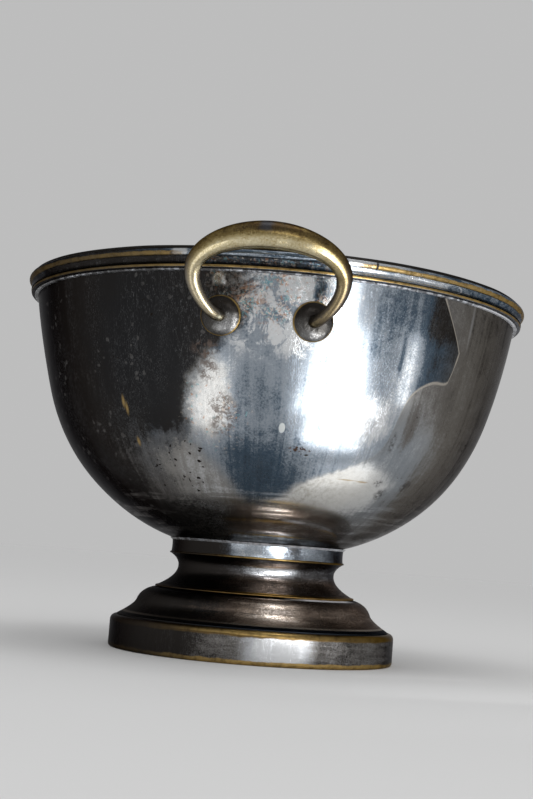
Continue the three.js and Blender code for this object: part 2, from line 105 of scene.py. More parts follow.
# A line on the bowl is drawn over heights up to LINE_TOP, in millimetres. Above LEAN_HEIGHT, in
# metres, it leans on over the turns in LEAN_TURNS by so many radians a metre.
LINE_TOP = 250
LEAN_HEIGHT = 0.2
LEAN_TURNS = (0.2, 0.6)
LEAN = 5.2


def arc(centre, radius, start, end, steps):
    """Points on an arc in the plane of radius and height."""
    turns = [start + (end - start) * i / steps for i in range(steps + 1)]
    return [(centre[0] + radius * math.cos(a), centre[1] + radius * math.sin(a)) for a in turns]


def blend(a, b, share):
    return (a[0] + (b[0] - a[0]) * share, a[1] + (b[1] - a[1]) * share)


def sweep(start, control, end, steps):
    """A smooth line from start to end, drawn towards a control point."""
    shares = [i / steps for i in range(steps + 1)]
    return [blend(blend(start, control, t), blend(control, end, t), t) for t in shares]


def clear_selection():
    bpy.ops.object.select_all(action="DESELECT")


def pick(piece):
    piece.select_set(True)
    bpy.context.view_layer.objects.active = piece


def apply_place():
    bpy.ops.object.transform_apply(location=True, rotation=True, scale=True)


def trace(name, outline):
    """Draws a closed outline in the XZ plane, extruding one vertex from point to point."""
    clear_selection()
    bpy.ops.mesh.primitive_plane_add(size=0.01, location=(0, 0, 0))
    piece = bpy.context.object
    piece.name = name
    bpy.ops.object.mode_set(mode="EDIT")
    bpy.ops.mesh.merge(type="CENTER")
    bpy.ops.transform.translate(value=(outline[0][0], 0, outline[0][1]))
    for before, after in zip(outline, outline[1:] + outline[:1]):
        step = (after[0] - before[0], 0, after[1] - before[1])
        bpy.ops.mesh.extrude_region_move(TRANSFORM_OT_translate={"value": step})
    bpy.ops.mesh.select_all(action="SELECT")
    bpy.ops.mesh.remove_doubles(threshold=MERGE_GAP)
    return piece


def spin(piece, steps=SPIN_STEPS):
    """Spins the traced outline once round the Z axis and closes its seam and poles."""
    bpy.ops.mesh.select_all(action="SELECT")
    bpy.ops.mesh.spin(steps=steps, angle=2 * math.pi, center=(0, 0, 0), axis=(0, 0, 1))
    bpy.ops.mesh.select_all(action="SELECT")
    bpy.ops.mesh.remove_doubles(threshold=SEAM_GAP)
    bpy.ops.mesh.normals_make_consistent(inside=False)
    bpy.ops.object.mode_set(mode="OBJECT")
    return piece


def fit(piece, material, node):
    """Smooths the piece, gives it its finish, and sets it in the frame in place of a CAD node."""
    clear_selection()
    pick(piece)
    apply_place()
    bpy.ops.object.shade_smooth_by_angle(angle=SMOOTH_ANGLE)
    piece.data.materials.clear()
    piece.data.materials.append(material)
    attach(piece, "root")
    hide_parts(node)


def turned(name, outline, material, node, steps=SPIN_STEPS):
    """A piece spun from its outline about the bowl's axis, fitted in place of its CAD node."""
    fit(spin(trace(name, outline), steps), material, node)


class Nodes:
    """A node tree being wired, with short calls for the nodes that the finishes use. Unless a
    call says where, noise is read at the tree's own place."""

    place = None

    def __init__(self, tree):
        self.tree = tree

    def feed(self, value, socket):
        """Links a node's output to the socket, or sets a plain value on it."""
        if isinstance(value, bpy.types.NodeSocket):
            self.tree.links.new(value, socket)
        else:
            socket.default_value = value

    def add(self, kind, values=None, **settings):
        node = self.tree.nodes.new(kind)
        for key, value in settings.items():
            setattr(node, key, value)
        for key, value in (values or {}).items():
            self.feed(value, node.inputs[key])
        return node

    def math(self, operation, a, b=0.0, c=0.0, clamp=False):
        values = {0: a, 1: b, 2: c}
        return self.add("ShaderNodeMath", values, operation=operation, use_clamp=clamp).outputs[0]

    def times(self, *values):
        """The product of masks and plain numbers, so also where all of the masks meet."""
        total = values[0]
        for value in values[1:]:
            total = self.math("MULTIPLY", total, value)
        return total

    def less(self, a, b):
        return self.math("SUBTRACT", a, b)

    def without(self, mask):
        return self.less(1, mask)

    def sum_of(self, total, *parts):
        """Adds masks, each times its share, to what is there already."""
        for mask, share in parts:
            total = self.math("MULTIPLY_ADD", mask, share, total)
        return total

    def step(self, value, low, high):
        """Rises smoothly from 0 at low to 1 at high, or falls where low is above high."""
        values = {"Value": value, "From Min": low, "From Max": high}
        return self.add("ShaderNodeMapRange", values, interpolation_type="SMOOTHSTEP").outputs[0]

    def noise(self, scale, detail=4, roughness=0.55, distortion=0, where=None):
        values = {"Vector": where or self.place, "Scale": scale, "Detail": detail,
                  "Roughness": roughness, "Distortion": distortion}
        return self.add("ShaderNodeTexNoise", values).outputs["Fac"]

    def drift(self, *shape, where=None):
        """Noise that wanders about zero."""
        return self.less(self.noise(*shape, where=where), 0.5)

    def mix(self, share, a, b):
        return self.add("ShaderNodeMix", {0: share, 6: a, 7: b}, data_type="RGBA").outputs[2]

    def blend(self, share, a, b):
        return self.add("ShaderNodeMix", {0: share, 2: a, 3: b}, data_type="FLOAT").outputs[0]

    def mapped(self, **values):
        return self.add("ShaderNodeMapping", {"Vector": self.place, **values}).outputs[0]

    def axes(self):
        return self.add("ShaderNodeSeparateXYZ", {"Vector": self.place}).outputs

    def turn_and_height(self):
        """How far a place lies round the bowl from the nearer handle, in radians towards +X, and
        its height. Front and rear are stained alike, as both were handled and polished alike."""
        x, y, z = self.axes()
        return self.math("ARCTAN2", x, self.math("ABSOLUTE", y)), z


class Effect(Nodes):
    """A shader node group being wired. It reads a place, has more named inputs with their usual
    values, and gives named outputs."""

    def __init__(self, name, **inputs):
        super().__init__(bpy.data.node_groups.new(name, "ShaderNodeTree"))
        kinds = {0: "NodeSocketFloat", 3: "NodeSocketVector", 4: "NodeSocketColor"}
        for socket, value in {"Vector": (0, 0, 0), **inputs}.items():
            kind = kinds[len(value) if isinstance(value, tuple) else 0]
            made = self.tree.interface.new_socket(name=socket, in_out="INPUT", socket_type=kind)
            made.default_value = value
        self.given = self.add("NodeGroupInput").outputs
        self.place = self.given["Vector"]

    def cells(self, bend, reach):
        """Ragged cells: how far a place lies from the middle of its own, and three chances that
        each cell has."""
        bent = self.add("ShaderNodeTexNoise", {"Vector": self.place, "Scale": bend}).outputs["Color"]
        values = {0: bent, 1: (reach, reach, reach), 2: self.place}
        moved = self.add("ShaderNodeVectorMath", values, operation="MULTIPLY_ADD").outputs[0]
        values = {"Vector": moved, "Scale": self.given["Scale"]}
        cells = self.add("ShaderNodeTexVoronoi", values).outputs
        chances = self.add("ShaderNodeSeparateColor", {"Color": cells["Color"]}).outputs
        return cells["Distance"], *chances

    def give(self, **results):
        """Ends the group with its outputs."""
        for name in results:
            kind = "NodeSocketColor" if name == "Color" else "NodeSocketFloat"
            self.tree.interface.new_socket(name=name, in_out="OUTPUT", socket_type=kind)
        self.add("NodeGroupOutput", results)
        return self.tree


def tarnish_effect():
    """Cloudy tarnish on silver plate: polished, hazy, warm and dark in turn, in stains that have
    ragged edges. Shift makes the whole surface darker, and it varies from place to place."""
    effect = Effect("tarnish", Size=1, Shift=0, Grain=1, Clean=CLEAN_SILVER, Haze=HAZE_SILVER,
                    Warm=WARM_TARNISH, Dark=DARK_TARNISH_AND_SHADE)
    given = effect.given
    depth = given["Shift"]
    for share, scale, *shape in STAIN_CLOUDS:
        depth = effect.sum_of(depth, (effect.noise(effect.times(given["Size"], scale), *shape), share))
    grain = effect.drift(effect.times(given["Size"], GRAIN_SCALE), 5, 0.8)
    depth = effect.sum_of(depth, (effect.times(grain, given["Grain"]), GRAIN_SHARE))
    depth = effect.math("ADD", depth, FIRST_DEPTH, clamp=True)
    colour = given["Clean"]
    for tone, (start, full) in TONE_DEPTHS.items():
        colour = effect.mix(effect.step(depth, start, full), colour, given[tone])
    return effect.give(Color=colour, Roughness=effect.sum_of(0.09, (depth, 0.26)))


def hairline_effect():
    """Hairline scratches that run every way: noise drawn out long along three directions."""
    effect = Effect("hairlines", Scale=1, Amount=0.5)
    scale = effect.given["Scale"]
    total = 0
    for turns, stretch in HAIRLINE_WAYS:
        where = effect.mapped(Rotation=turns, Scale=(stretch, stretch, 1))
        line = effect.math("ABSOLUTE", effect.drift(effect.times(scale, 34), 2, 0.5, 0.15, where=where))
        patch = effect.noise(effect.times(scale, 1.3), 2, where=where)
        line = effect.times(effect.step(line, 0.012, 0), effect.step(patch, 0.47, 0.62))
        total = effect.math("MAXIMUM", total, line)
    return effect.give(Mask=effect.times(total, effect.given["Amount"]))


def pit_effect():
    """Small dark pits where the plate has lifted, in clusters."""
    effect = Effect("pits", Scale=260, Clusters=0.6, Bias=0)
    clusters = effect.given["Clusters"]
    away, chance = effect.cells(300, 0.0035)[:2]
    spot = effect.step(effect.less(away, effect.sum_of(0.02, (chance, 0.34))), 0.05, -0.05)
    cloud = effect.math("ADD", effect.noise(26, 3), effect.given["Bias"])
    cluster = effect.step(cloud, clusters, effect.math("ADD", clusters, 0.06))
    return effect.give(Mask=effect.times(spot, cluster, effect.step(chance, 0.55, 0.75)))


def flake_effect():
    """Flakes of coloured tarnish about a millimetre across: orange brown, teal and pale cream."""
    effect = Effect("flakes", Scale=620, Cover=0.5)
    _, hue, tone, chance = effect.cells(420, 0.004)
    drift = effect.sum_of(effect.less(hue, 1.3), (effect.noise(90, 3), 1.6))
    colour = effect.mix(effect.step(drift, -0.05, 0.1), (0.42, 0.20, 0.10, 1), (0.20, 0.40, 0.43, 1))
    colour = effect.mix(effect.step(tone, 0.45, 0.5), colour, (0.70, 0.62, 0.55, 1))
    bare = effect.without(effect.given["Cover"])
    return effect.give(Color=colour, Mask=effect.step(chance, bare, effect.math("ADD", bare, 0.1)))


def worn_line_effect():
    """Where a rounded edge has lost its plate: a band about one height, with a ragged border."""
    effect = Effect("worn line", Value=0, Middle=0, Half=1, Ragged=0.5)
    given = effect.given
    away = effect.math("ABSOLUTE", effect.less(given["Value"], given["Middle"]))
    edge = effect.times(effect.drift(85, 5, 0.65), given["Ragged"])
    away = effect.sum_of(effect.math("DIVIDE", away, given["Half"]), (edge, 2))
    return effect.give(Mask=effect.step(away, 1.15, 0.85))


def patch_effect():
    """A stain or a rubbed place with a ragged border, by its turn from the handles and height."""
    effect = Effect("patch", Turn=0, Height=0, Wide=1, Tall=1, Ragged=0.5, Soft=0.3)
    given = effect.given
    turn, height = effect.turn_and_height()
    away = 0
    for value, middle, half in ((turn, "Turn", "Wide"), (height, "Height", "Tall")):
        share = effect.math("DIVIDE", effect.less(value, given[middle]), given[half])
        away = effect.sum_of(away, (share, share))
    away = effect.sum_of(effect.math("SQRT", away), (effect.drift(75, 6, 0.68), given["Ragged"]))
    outer, inner = effect.math("ADD", 1, given["Soft"]), effect.without(given["Soft"])
    return effect.give(Mask=effect.step(away, outer, inner))


def streak_effect():
    """Smears drawn out round the piece or down it, by how often they come each way."""
    effect = Effect("streaks", Round=3, Up=300, Low=0.5, High=0.65)
    given = effect.given
    turn, height = effect.turn_and_height()
    values = {0: effect.times(turn, given["Round"]), 1: effect.times(height, given["Up"])}
    where = effect.add("ShaderNodeCombineXYZ", values).outputs[0]
    smear = effect.noise(1, 5, 0.62, 0.5, where)
    return effect.give(Mask=effect.step(smear, given["Low"], given["High"]))


TARNISH = tarnish_effect()
HAIRLINES = hairline_effect()
PITS = pit_effect()
FLAKES = flake_effect()
WORN_LINE = worn_line_effect()
PATCH = patch_effect()
STREAKS = streak_effect()


class Finish(Nodes):
    """A metal finish being built on one Principled BSDF, layer on layer. Places on it are a turn
    from the handles in degrees and a height in metres."""

    def __init__(self, name):
        self.material = bpy.data.materials.new(name)
        self.material.use_nodes = True
        super().__init__(self.material.node_tree)
        self.shader = self.tree.nodes["Principled BSDF"].inputs
        self.shader["Metallic"].default_value = 1.0
        self.shader["Specular Tint"].default_value = DARK_EDGE
        self.place = self.add("ShaderNodeTexCoord").outputs["Object"]
        self.x, _, self.z = self.axes()
        self.relief = 0

    def use(self, effect, **values):
        """What a shared effect gives at each place of this piece."""
        return self.add("ShaderNodeGroup", {"Vector": self.place, **values}, node_tree=effect).outputs

    def marked(self, name):
        """What mark wrote on the points of the piece."""
        return self.add("ShaderNodeAttribute", attribute_name=name).outputs["Fac"]

    def silver(self, size, shift, grain=1.0, **colours):
        """The plate with its tarnish, under all layers."""
        self.colour, self.roughness = self.use(TARNISH, Size=size, Shift=shift, Grain=grain, **colours)

    def layer(self, mask, colour, roughness=None, share=1):
        """Lays a colour over the mask's places, and a roughness where one is given."""
        mask = self.times(mask, share)
        self.colour = self.mix(mask, self.colour, colour)
        if roughness is not None:
            self.roughness = self.blend(mask, self.roughness, roughness)

    def chalky(self, mask, share):
        """Keeps a mask's places from shining like metal, as on solder that has dulled."""
        self.feed(self.sum_of(1, (mask, -share)), self.shader["Metallic"])

    def worn(self, middle, half, ragged, where=1, colour=WORN_BRASS):
        """Brass laid bare about one height, dull in places. Where may keep it to part of the piece."""
        mask = self.use(WORN_LINE, Value=self.z, Middle=middle, Half=half, Ragged=ragged)[0]
        mottle = self.step(self.noise(210, 5, 0.7), 0.2, 0.6)
        self.layer(mask, self.mix(mottle, DARK_BRASS, colour), BARE, where)

    def patch(self, turn, height, wide, tall, ragged, soft=0.3):
        """Mask of a place, by its middle and its half width and half height."""
        return self.use(PATCH, Turn=math.radians(turn), Height=height, Wide=math.radians(wide),
                        Tall=tall, Ragged=ragged, Soft=soft)[0]

    def painted_shade_side(self):
        """Mask of the side towards -X, for the painted shade that darkens it nearly to black."""
        return self.patch(-80, 0.12, 58, 0.6, 0.35, 0.4)

    def paint_side_shade(self, share):
        """Lays painted shade over every layer so far on the side towards -X."""
        self.layer(self.painted_shade_side(), DARK_TARNISH_AND_SHADE, DULL, share)

    def line(self, points):
        """How far a place lies above a line round the piece, drawn through points of a turn in
        degrees and a height in millimetres."""
        turn, height = self.turn_and_height()
        lean = self.math("MAXIMUM", self.less(height, LEAN_HEIGHT), 0)
        lean = self.times(lean, self.step(turn, *LEAN_TURNS))
        share = self.sum_of(0.5, (self.sum_of(turn, (lean, LEAN)), 1 / math.pi))
        drawn = self.add("ShaderNodeFloatCurve", {"Value": share})
        first, *between, last = [(turn / 180 + 0.5, level / LINE_TOP) for turn, level in points]
        curve = drawn.mapping.curves[0].points
        curve[0].location, curve[1].location = first, last
        for point in between:
            curve.new(*point)
        drawn.mapping.update()
        return self.less(height, self.times(drawn.outputs[0], LINE_TOP / 1000))

    def above(self, line, soft, ragged=0.006):
        """Mask of the side above a line, with a border that is a little uneven."""
        away = self.sum_of(line, (self.drift(160, 5, 0.7), ragged))
        return self.step(self.math("DIVIDE", away, soft), -1, 1)

    def streaks(self, around, up, low, high):
        return self.use(STREAKS, Round=around, Up=up, Low=low, High=high)[0]

    def flakes(self, where, scale, cover):
        colour, mask = self.use(FLAKES, Scale=scale, Cover=cover)
        self.layer(mask, colour, STAINED, where)

    def pits(self, scale, clusters, bias=0):
        mask = self.use(PITS, Scale=scale, Clusters=clusters, Bias=bias)[0]
        self.layer(mask, PIT_COLOUR, 0.6)
        self.raise_by(mask, -0.7)

    def specks(self, where):
        """Small pale spots where drops have dried on the tarnish."""
        aside = self.mapped(Location=(0.3, 0.1, 0.2))
        mask = self.use(PITS, Vector=aside, Scale=230, Clusters=0.5, Bias=0.02)[0]
        self.layer(self.times(mask, where), DROP_COLOUR, share=0.2)

    def spun(self, share=0.9):
        """Fine rings from the lathe draw each reflection out across them."""
        self.shader["Anisotropic"].default_value = share
        tangent = self.add("ShaderNodeTangent", direction_type="RADIAL", axis="Z").outputs[0]
        self.feed(tangent, self.shader["Tangent"])

    def hairlines(self, scale, amount, colour=SCRATCH_COLOUR):
        mask = self.use(HAIRLINES, Scale=scale, Amount=amount)[0]
        self.layer(mask, colour, share=0.35)
        self.raise_by(mask, -0.25)

    def turning_marks(self, pitch, strength):
        """Fine rings left by the spinning tool, one above another."""
        phase = self.times(self.z, 2 * math.pi / pitch)
        phase = self.sum_of(phase, (self.noise(60, 2), 5))
        self.raise_by(self.math("SINE", phase), strength)

    def raise_by(self, mask, share):
        self.relief = self.sum_of(self.relief, (mask, share))

    def done(self, bump=BUMP):
        self.feed(self.colour, self.shader["Base Color"])
        self.feed(self.roughness, self.shader["Roughness"])
        values = {"Height": self.relief, "Distance": bump, "Strength": 1.0}
        self.feed(self.add("ShaderNodeBump", values).outputs["Normal"], self.shader["Normal"])
        return self.material


band_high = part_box("base_band")[1]
bell_low, bell_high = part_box("foot_bell")
band_radius = band_high.x
band_height = band_high.z
ledge_height = bell_low.z
bell_radius = bell_high.x

band_inner = band_radius - BAND_WALL
band_ledge = bell_radius - BAND_LEDGE
band_rest = band_radius - BAND_EDGE - BAND_REST
band_outline = [
    (band_rest, 0),
    *arc((band_radius - BAND_EDGE, BAND_EDGE), BAND_EDGE, -QUARTER, 0, 8),
    *arc((band_radius - BAND_SHOULDER, band_height - BAND_SHOULDER), BAND_SHOULDER, 0, QUARTER, 12),
    (bell_radius + 2 * SEAT_GAP, band_height - SEAT_GAP),
    (bell_radius + SEAT_GAP, ledge_height),
    (band_ledge, ledge_height),
    (band_ledge, ledge_height - BAND_WALL),
    (band_inner, ledge_height - BAND_WALL),
    (band_inner, BAND_WALL),
    (band_rest, BAND_WALL),
]


def band_plate():
    """Grey streaks, a painted highlight in front, brass along the lower edge and the shoulder, and
    painted shade towards -X.
    """
    finish = Finish("band_plate")
    # The bright patch is a painted highlight, laid in the tarnish and again as a pale layer
    bright = finish.patch(12, 0.010, 11, 0.05, 0.5, 0.6)
    grey = finish.streaks(6, 420, 0.4, 0.65)
    shift = finish.sum_of(0.34, (finish.painted_shade_side(), 0.45), (bright, -0.62), (grey, -0.12))
    finish.silver(1.6, shift, 0.9, Haze=(0.30, 0.315, 0.335, 1))
    finish.pits(420, 0.60)
    finish.hairlines(1.6, 0.7)
    finish.layer(bright, (0.92, 0.93, 0.95, 1), 0.2, 0.6)
    finish.worn(0, 0.0029, 0.6)
    finish.worn(band_height, 0.0041, 0.35, colour=DIM_BRASS)
    rubbed = finish.patch(2, band_height, 26, 0.02, 0.8, 0.6)
    finish.worn(band_height - 0.0012, 0.0016, 0.5, rubbed)
    finish.paint_side_shade(0.93)
    return finish.done()


turned("base_ring", band_outline, band_plate(), "base_band")

# Bell. The lower spinning of the foot: it swells over a shoulder and sweeps out to a thin edge
# that drops inside the base band. Its plate is thin and brown, with turning marks all round.
BELL_EDGE = 0.0016
BELL_SHOULDER_RADIUS = 0.0793
BELL_SHOULDER_DROP = 0.0094
BELL_SLANT = 0.0026
BELL_FALL = 0.002
BELL_TURN = 0.5
BELL_LAND = 0.0053
BELL_GROOVE_SHADE = 0.0033
FOOT_WALL = 0.002
SEAM_SETBACK = 0.0004


def inner_side(line, low, high):
    """The line moved inwards by the foot's wall, where it runs clear between two heights."""
    moved = []
    for i, (x, z) in enumerate(line):
        before, after = line[max(i - 1, 0)], line[min(i + 1, len(line) - 1)]
        dx, dz = after[0] - before[0], after[1] - before[1]
        length = math.hypot(dx, dz)
        moved.append((x + dz / length * FOOT_WALL, z - dx / length * FOOT_WALL))
    return [point for point in moved if low + SEAT_GAP < point[1] < high - SEAT_GAP]


waist_low, waist_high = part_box("foot_waist")
step_radius = waist_high.x
step_height = waist_low.z
shoulder = (BELL_SHOULDER_RADIUS, step_height - BELL_SHOULDER_DROP)
shoulder_upper = (shoulder[0] - BELL_SLANT, step_height - BELL_FALL)
shoulder_lower = blend(shoulder, shoulder_upper, -BELL_TURN)
bell_edge = (bell_radius, ledge_height + BELL_EDGE)
bell_line = [
    *sweep((step_radius - SEAM_SETBACK, step_height), shoulder_upper, shoulder, 16),
    *sweep(shoulder, shoulder_lower, bell_edge, 18)[1:],
]
bell_inner = inner_side(bell_line, ledge_height, step_height - FOOT_WALL)
bell_land = step_radius - BELL_LAND
bell_outline = [
    (bell_land, step_height),
    *bell_line,
    (bell_radius, ledge_height),
    (bell_inner[-1][0] + SEAT_GAP, ledge_height),
    *reversed(bell_inner),
    (bell_land, step_height - FOOT_WALL),
]


def bell_plate():
    """Brown plate with a painted highlight in front, a pale line and painted shade in the groove above
    the base band, a dark seam under the step, deepened as painted shadow, in which a bright thread
    of solder shows, and painted shade towards -X."""
    finish = Finish("bell_plate")
    smears = finish.streaks(2.5, 420, 0.45, 0.7)
    # A painted highlight in front
    bright = finish.patch(11.5, 0.0315, 12, 0.0075, 0.7, 0.7)
    shift = finish.sum_of(0.24, (finish.painted_shade_side(), 0.42), (smears, -0.16), (bright, -0.5))
    finish.silver(1.2, shift, Clean=(0.95, 0.83, 0.74, 1), Haze=(0.33, 0.265, 0.215, 1),
                  Warm=BROWN_TARNISH)
    finish.spun()
    finish.turning_marks(0.0007, 0.10)
    finish.pits(380, 0.66)
    finish.hairlines(1.3, 0.5)
    # A pale line, then painted shade in the groove just above the base band
    groove_shade = ledge_height + BELL_GROOVE_SHADE
    finish.layer(finish.step(finish.z, groove_shade + 0.0012, groove_shade + 0.0007), (0.30, 0.26, 0.22, 1), 0.25)
    finish.layer(finish.step(finish.z, groove_shade + 0.0003, groove_shade - 0.0003), (0.012, 0.014, 0.018, 1), 0.35)
    # The seam under the step, dark as a joint and as painted shadow, with a bright thread of solder
    seam = finish.step(finish.z, step_height - 0.0012, step_height - 0.0007)
    finish.layer(seam, (0.02, 0.02, 0.022, 1), BARE)
    thread = finish.times(seam, finish.patch(46, step_height, 22, 0.01, 1.6, 0.4))
    finish.layer(thread, (0.66, 0.67, 0.70, 1), BARE)
    finish.chalky(thread, 0.7)
    finish.paint_side_shade(0.75)
    return finish.done()


turned("foot_skirt", bell_outline, bell_plate(), "foot_bell")

# Waist. The upper spinning: hollowed in under the collar, then spread to a thin step whose edge
# has worn to a brass line. It stands on the bell's land.
WAIST_RADIUS = 0.053
WAIST_DROP = 0.0079
WAIST_LAND = 0.002
WAIST_TOP_TURN = 0.42
WAIST_FOOT_TURN = 0.52
STEP_EDGE = 0.0013
RIDGE_DEPTH = 0.0009


def nose(radius, low, high, steps):
    """A half-round face between two heights."""
    middle, half = (low + high) / 2, (high - low) / 2
    return arc((radius - half, middle), half, -QUARTER, QUARTER, steps)


collar_low, collar_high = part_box("foot_collar")
waist_top = waist_high.z
collar_radius = collar_high.x - RIDGE_DEPTH
narrow = (WAIST_RADIUS, waist_top - WAIST_DROP)
step_top = step_height + STEP_EDGE
top_control = (WAIST_RADIUS, waist_top - WAIST_DROP * WAIST_TOP_TURN)
foot_control = (WAIST_RADIUS, narrow[1] + (step_top - narrow[1]) * WAIST_FOOT_TURN)
waist_line = [
    *sweep((collar_radius, waist_top), top_control, narrow, 12),
    *sweep(narrow, foot_control, (step_radius - STEP_EDGE, step_top), 24)[1:],
]
waist_inner = inner_side(waist_line, step_height, waist_top)
waist_outline = [
    *waist_line,
    *reversed(nose(step_radius, step_height, step_top, 8)),
    (waist_inner[-1][0] + SEAT_GAP, step_height),
    *reversed(waist_inner),
    (collar_radius - WAIST_LAND, waist_top),
]


def waist_plate():
    """Cooler and greyer under the collar, brown below, with a painted highlight in front, a worn line on
    the step's edge, and painted shade towards -X.
    """
    finish = Finish("waist_plate")
    smears = finish.streaks(3, 380, 0.45, 0.7)
    # A painted highlight in front
    bright = finish.patch(13, 0.058, 18, 0.0055, 0.9, 0.4)
    upper = finish.step(finish.z, 0.050, 0.056)
    shift = finish.sum_of(0.27, (finish.painted_shade_side(), 0.45), (smears, -0.2), (bright, -0.5))
    finish.silver(1.3, shift, Clean=finish.mix(upper, (0.92, 0.80, 0.74, 1), (0.84, 0.86, 0.90, 1)),
                  Haze=finish.mix(upper, (0.34, 0.27, 0.235, 1), (0.27, 0.28, 0.295, 1)),
                  Warm=finish.mix(upper, BROWN_TARNISH, (0.07, 0.068, 0.07, 1)))
    finish.spun(0.8)
    finish.turning_marks(0.0009, 0.08)
    finish.hairlines(1.3, 0.5)
    finish.worn(step_top - 0.0004, 0.0011, 0.6, colour=(0.25, 0.15, 0.048, 1))
    finish.paint_side_shade(0.9)
    return finish.done()


turned("foot_neck", waist_outline, waist_plate(), "foot_waist")

# Collar. A turned ring between foot and bowl, with painted highlights in front and to the right
# and a small ridge round its lower edge that has worn to brass. The bowl's floor is soldered down on it.
COLLAR_WALL = 0.0032
COLLAR_HOLLOW = 0.0003
COLLAR_CHAMFER = 0.0012
RIDGE_HEIGHT = 0.0014

collar_base = collar_low.z
foot_height = collar_high.z
collar_inside = collar_radius - COLLAR_WALL
face_low = collar_base + RIDGE_HEIGHT
face_control = (collar_radius - 2 * COLLAR_HOLLOW, (face_low + foot_height) / 2)
collar_outline = [
    (collar_inside, collar_base),
    *nose(collar_high.x, collar_base, face_low, 10),
    *sweep((collar_radius, face_low), face_control, (collar_radius, foot_height), 8),
    (collar_inside, foot_height - COLLAR_CHAMFER),
]


def collar_plate():
    """Painted highlights in front and to the right, brass on the ridge, rubbed clean in the middle,
    and painted shade towards -X.
    """
    finish = Finish("collar_plate")
    # Painted highlights in front and to the right
    bright = finish.patch(4, 0.07, 19, 0.03, 2.0, 0.3)
    right = finish.patch(45, 0.07, 16, 0.03, 1.6, 0.4)
    shift = finish.sum_of(0.36, (finish.painted_shade_side(), 0.4), (bright, -0.52), (right, -0.3))
    finish.silver(1.5, shift, Warm=(0.085, 0.095, 0.11, 1))
    finish.hairlines(1.4, 0.6)
    ridge = (collar_base + face_low) / 2
    finish.worn(ridge, 0.0008, 0.5, colour=DIM_BRASS)
    finish.worn(ridge, 0.0006, 0.7, finish.patch(6, collar_base, 24, 0.02, 1.2, 0.5))
    finish.paint_side_shade(0.9)
    return finish.done()


turned("collar_ring", collar_outline, collar_plate(), "foot_collar")

# Bowl. One sheet spun over a chuck: flat floor, deep belly, nearly straight wall and a flare
# behind the rim mount up to a thin bare lip. Old polish, tarnish, pits and hairlines cover it.
WALL = 0.002
RIM_REACH = 0.0068
MOUTH_LEAN = math.radians(8.5)
WALL_ARC = 0.447
FLARE_ARC = 0.044
FLOOR_FLAT = 0.0177
RIM_HEIGHT = 0.014
BOWL_STEPS = 256
WAVE_SIZE = 0.075
WAVE_HEIGHT = 0.0011

# Where the polish ends and where the black starts, as turns in degrees and heights in millimetres
POLISH_BORDER = (
    (-90, 132), (-24, 132), (-19, 129), (-13, 121), (-8, 110), (-4, 100), (3, 97), (5, 98), (9, 104),
    (13, 112), (18, 117.5), (24, 122), (30.5, 130), (33.4, 138), (34.4, 150), (35.2, 161), (37, 171),
    (40, 177), (42.4, 179.5), (46.9, 181), (47.9, 190), (48.7, 205), (50.5, 240), (90, 240),
)
BLACK_BORDER = (
    (-90, 240), (-52, 240), (-47, 205), (-42, 175), (-37, 158), (-34, 152), (-30, 143), (-25, 137),
    (-20, 134), (90, 134),
)
POLISH_LEFT_LOW = math.radians(-17)
POLISH_LEFT_HIGH = math.radians(-4)

# Places that are darker or lighter than the plate about them: by how much, and then their turn,
# height, half width, half height, raggedness and softness
# Among them the painted highlights and the shadow over the roundel are painted light
TONES = {
    "between the roundels": (0.1, 3, 0.203, 12, 0.022, 1.2, 0.5),
    "fleck at the right roundel": (-0.5, 6.5, 0.2235, 3.6, 0.010, 1.4, 0.3),
    "shadow over that roundel": (0.5, 10.4, 0.2245, 1.5, 0.010, 1.2, 0.4),
    "painted highlight inside the loop": (-0.6, -10.2, 0.2245, 1.6, 0.0035, 3.2, 0.3),
    "right of the highlight": (0.2, 27, 0.198, 5, 0.034, 0.8, 0.5),
    "painted highlight below it": (-0.25, 28, 0.152, 4.5, 0.014, 1.2, 0.5),
    "crease down it": (0.26, 31.6, 0.192, 0.6, 0.012, 2.4, 0.7),
    "navy middle": (0.2, -0.5, 0.140, 8, 0.036, 0.5, 0.6),
    "under the belly": (-0.24, 14, 0.083, 40, 0.014, 0.7, 0.5),
}
UNPOLISHED_TONES = {
    "creases": (0.2, 39.5, 0.149, 1.7, 0.014, 1.6, 0.6),
    "pitted grey": (-0.32, -15, 0.118, 16, 0.020, 0.5, 0.9),
}

# Small places by turn, height, half width and half height
BROWN_STAINS = ((-9.5, 0.148, 3.0, 0.012), (-12.5, 0.174, 2.2, 0.008), (-13, 0.186, 3.0, 0.005))
SMUDGES = ((49.4, 0.1168, 1.6, 0.003), (41, 0.1104, 1.8, 0.003), (37.5, 0.1168, 1.4, 0.002),
           (35.5, 0.141, 0.7, 0.006))
# The first three brass places are painted warm glints on the left, the last two thin brass lines
BRASS_GLINTS_AND_LINES = ((-36.1, 0.154, 0.35, 0.0028), (-35.3, 0.150, 0.35, 0.0028), (-34.1, 0.131, 0.4, 0.002),
              (31.6, 0.1165, 1.6, 0.0004), (26.5, 0.1168, 2.4, 0.0003))

bowl_low, bowl_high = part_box("bowl")
roll_low, roll_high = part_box("rim_roll")
solder_low, solder_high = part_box("rim_solder")
bowl_base = bowl_low.z
rim_radius = roll_high.x
mouth_height = solder_low.z - bowl_base
mouth_radius = rim_radius - RIM_REACH

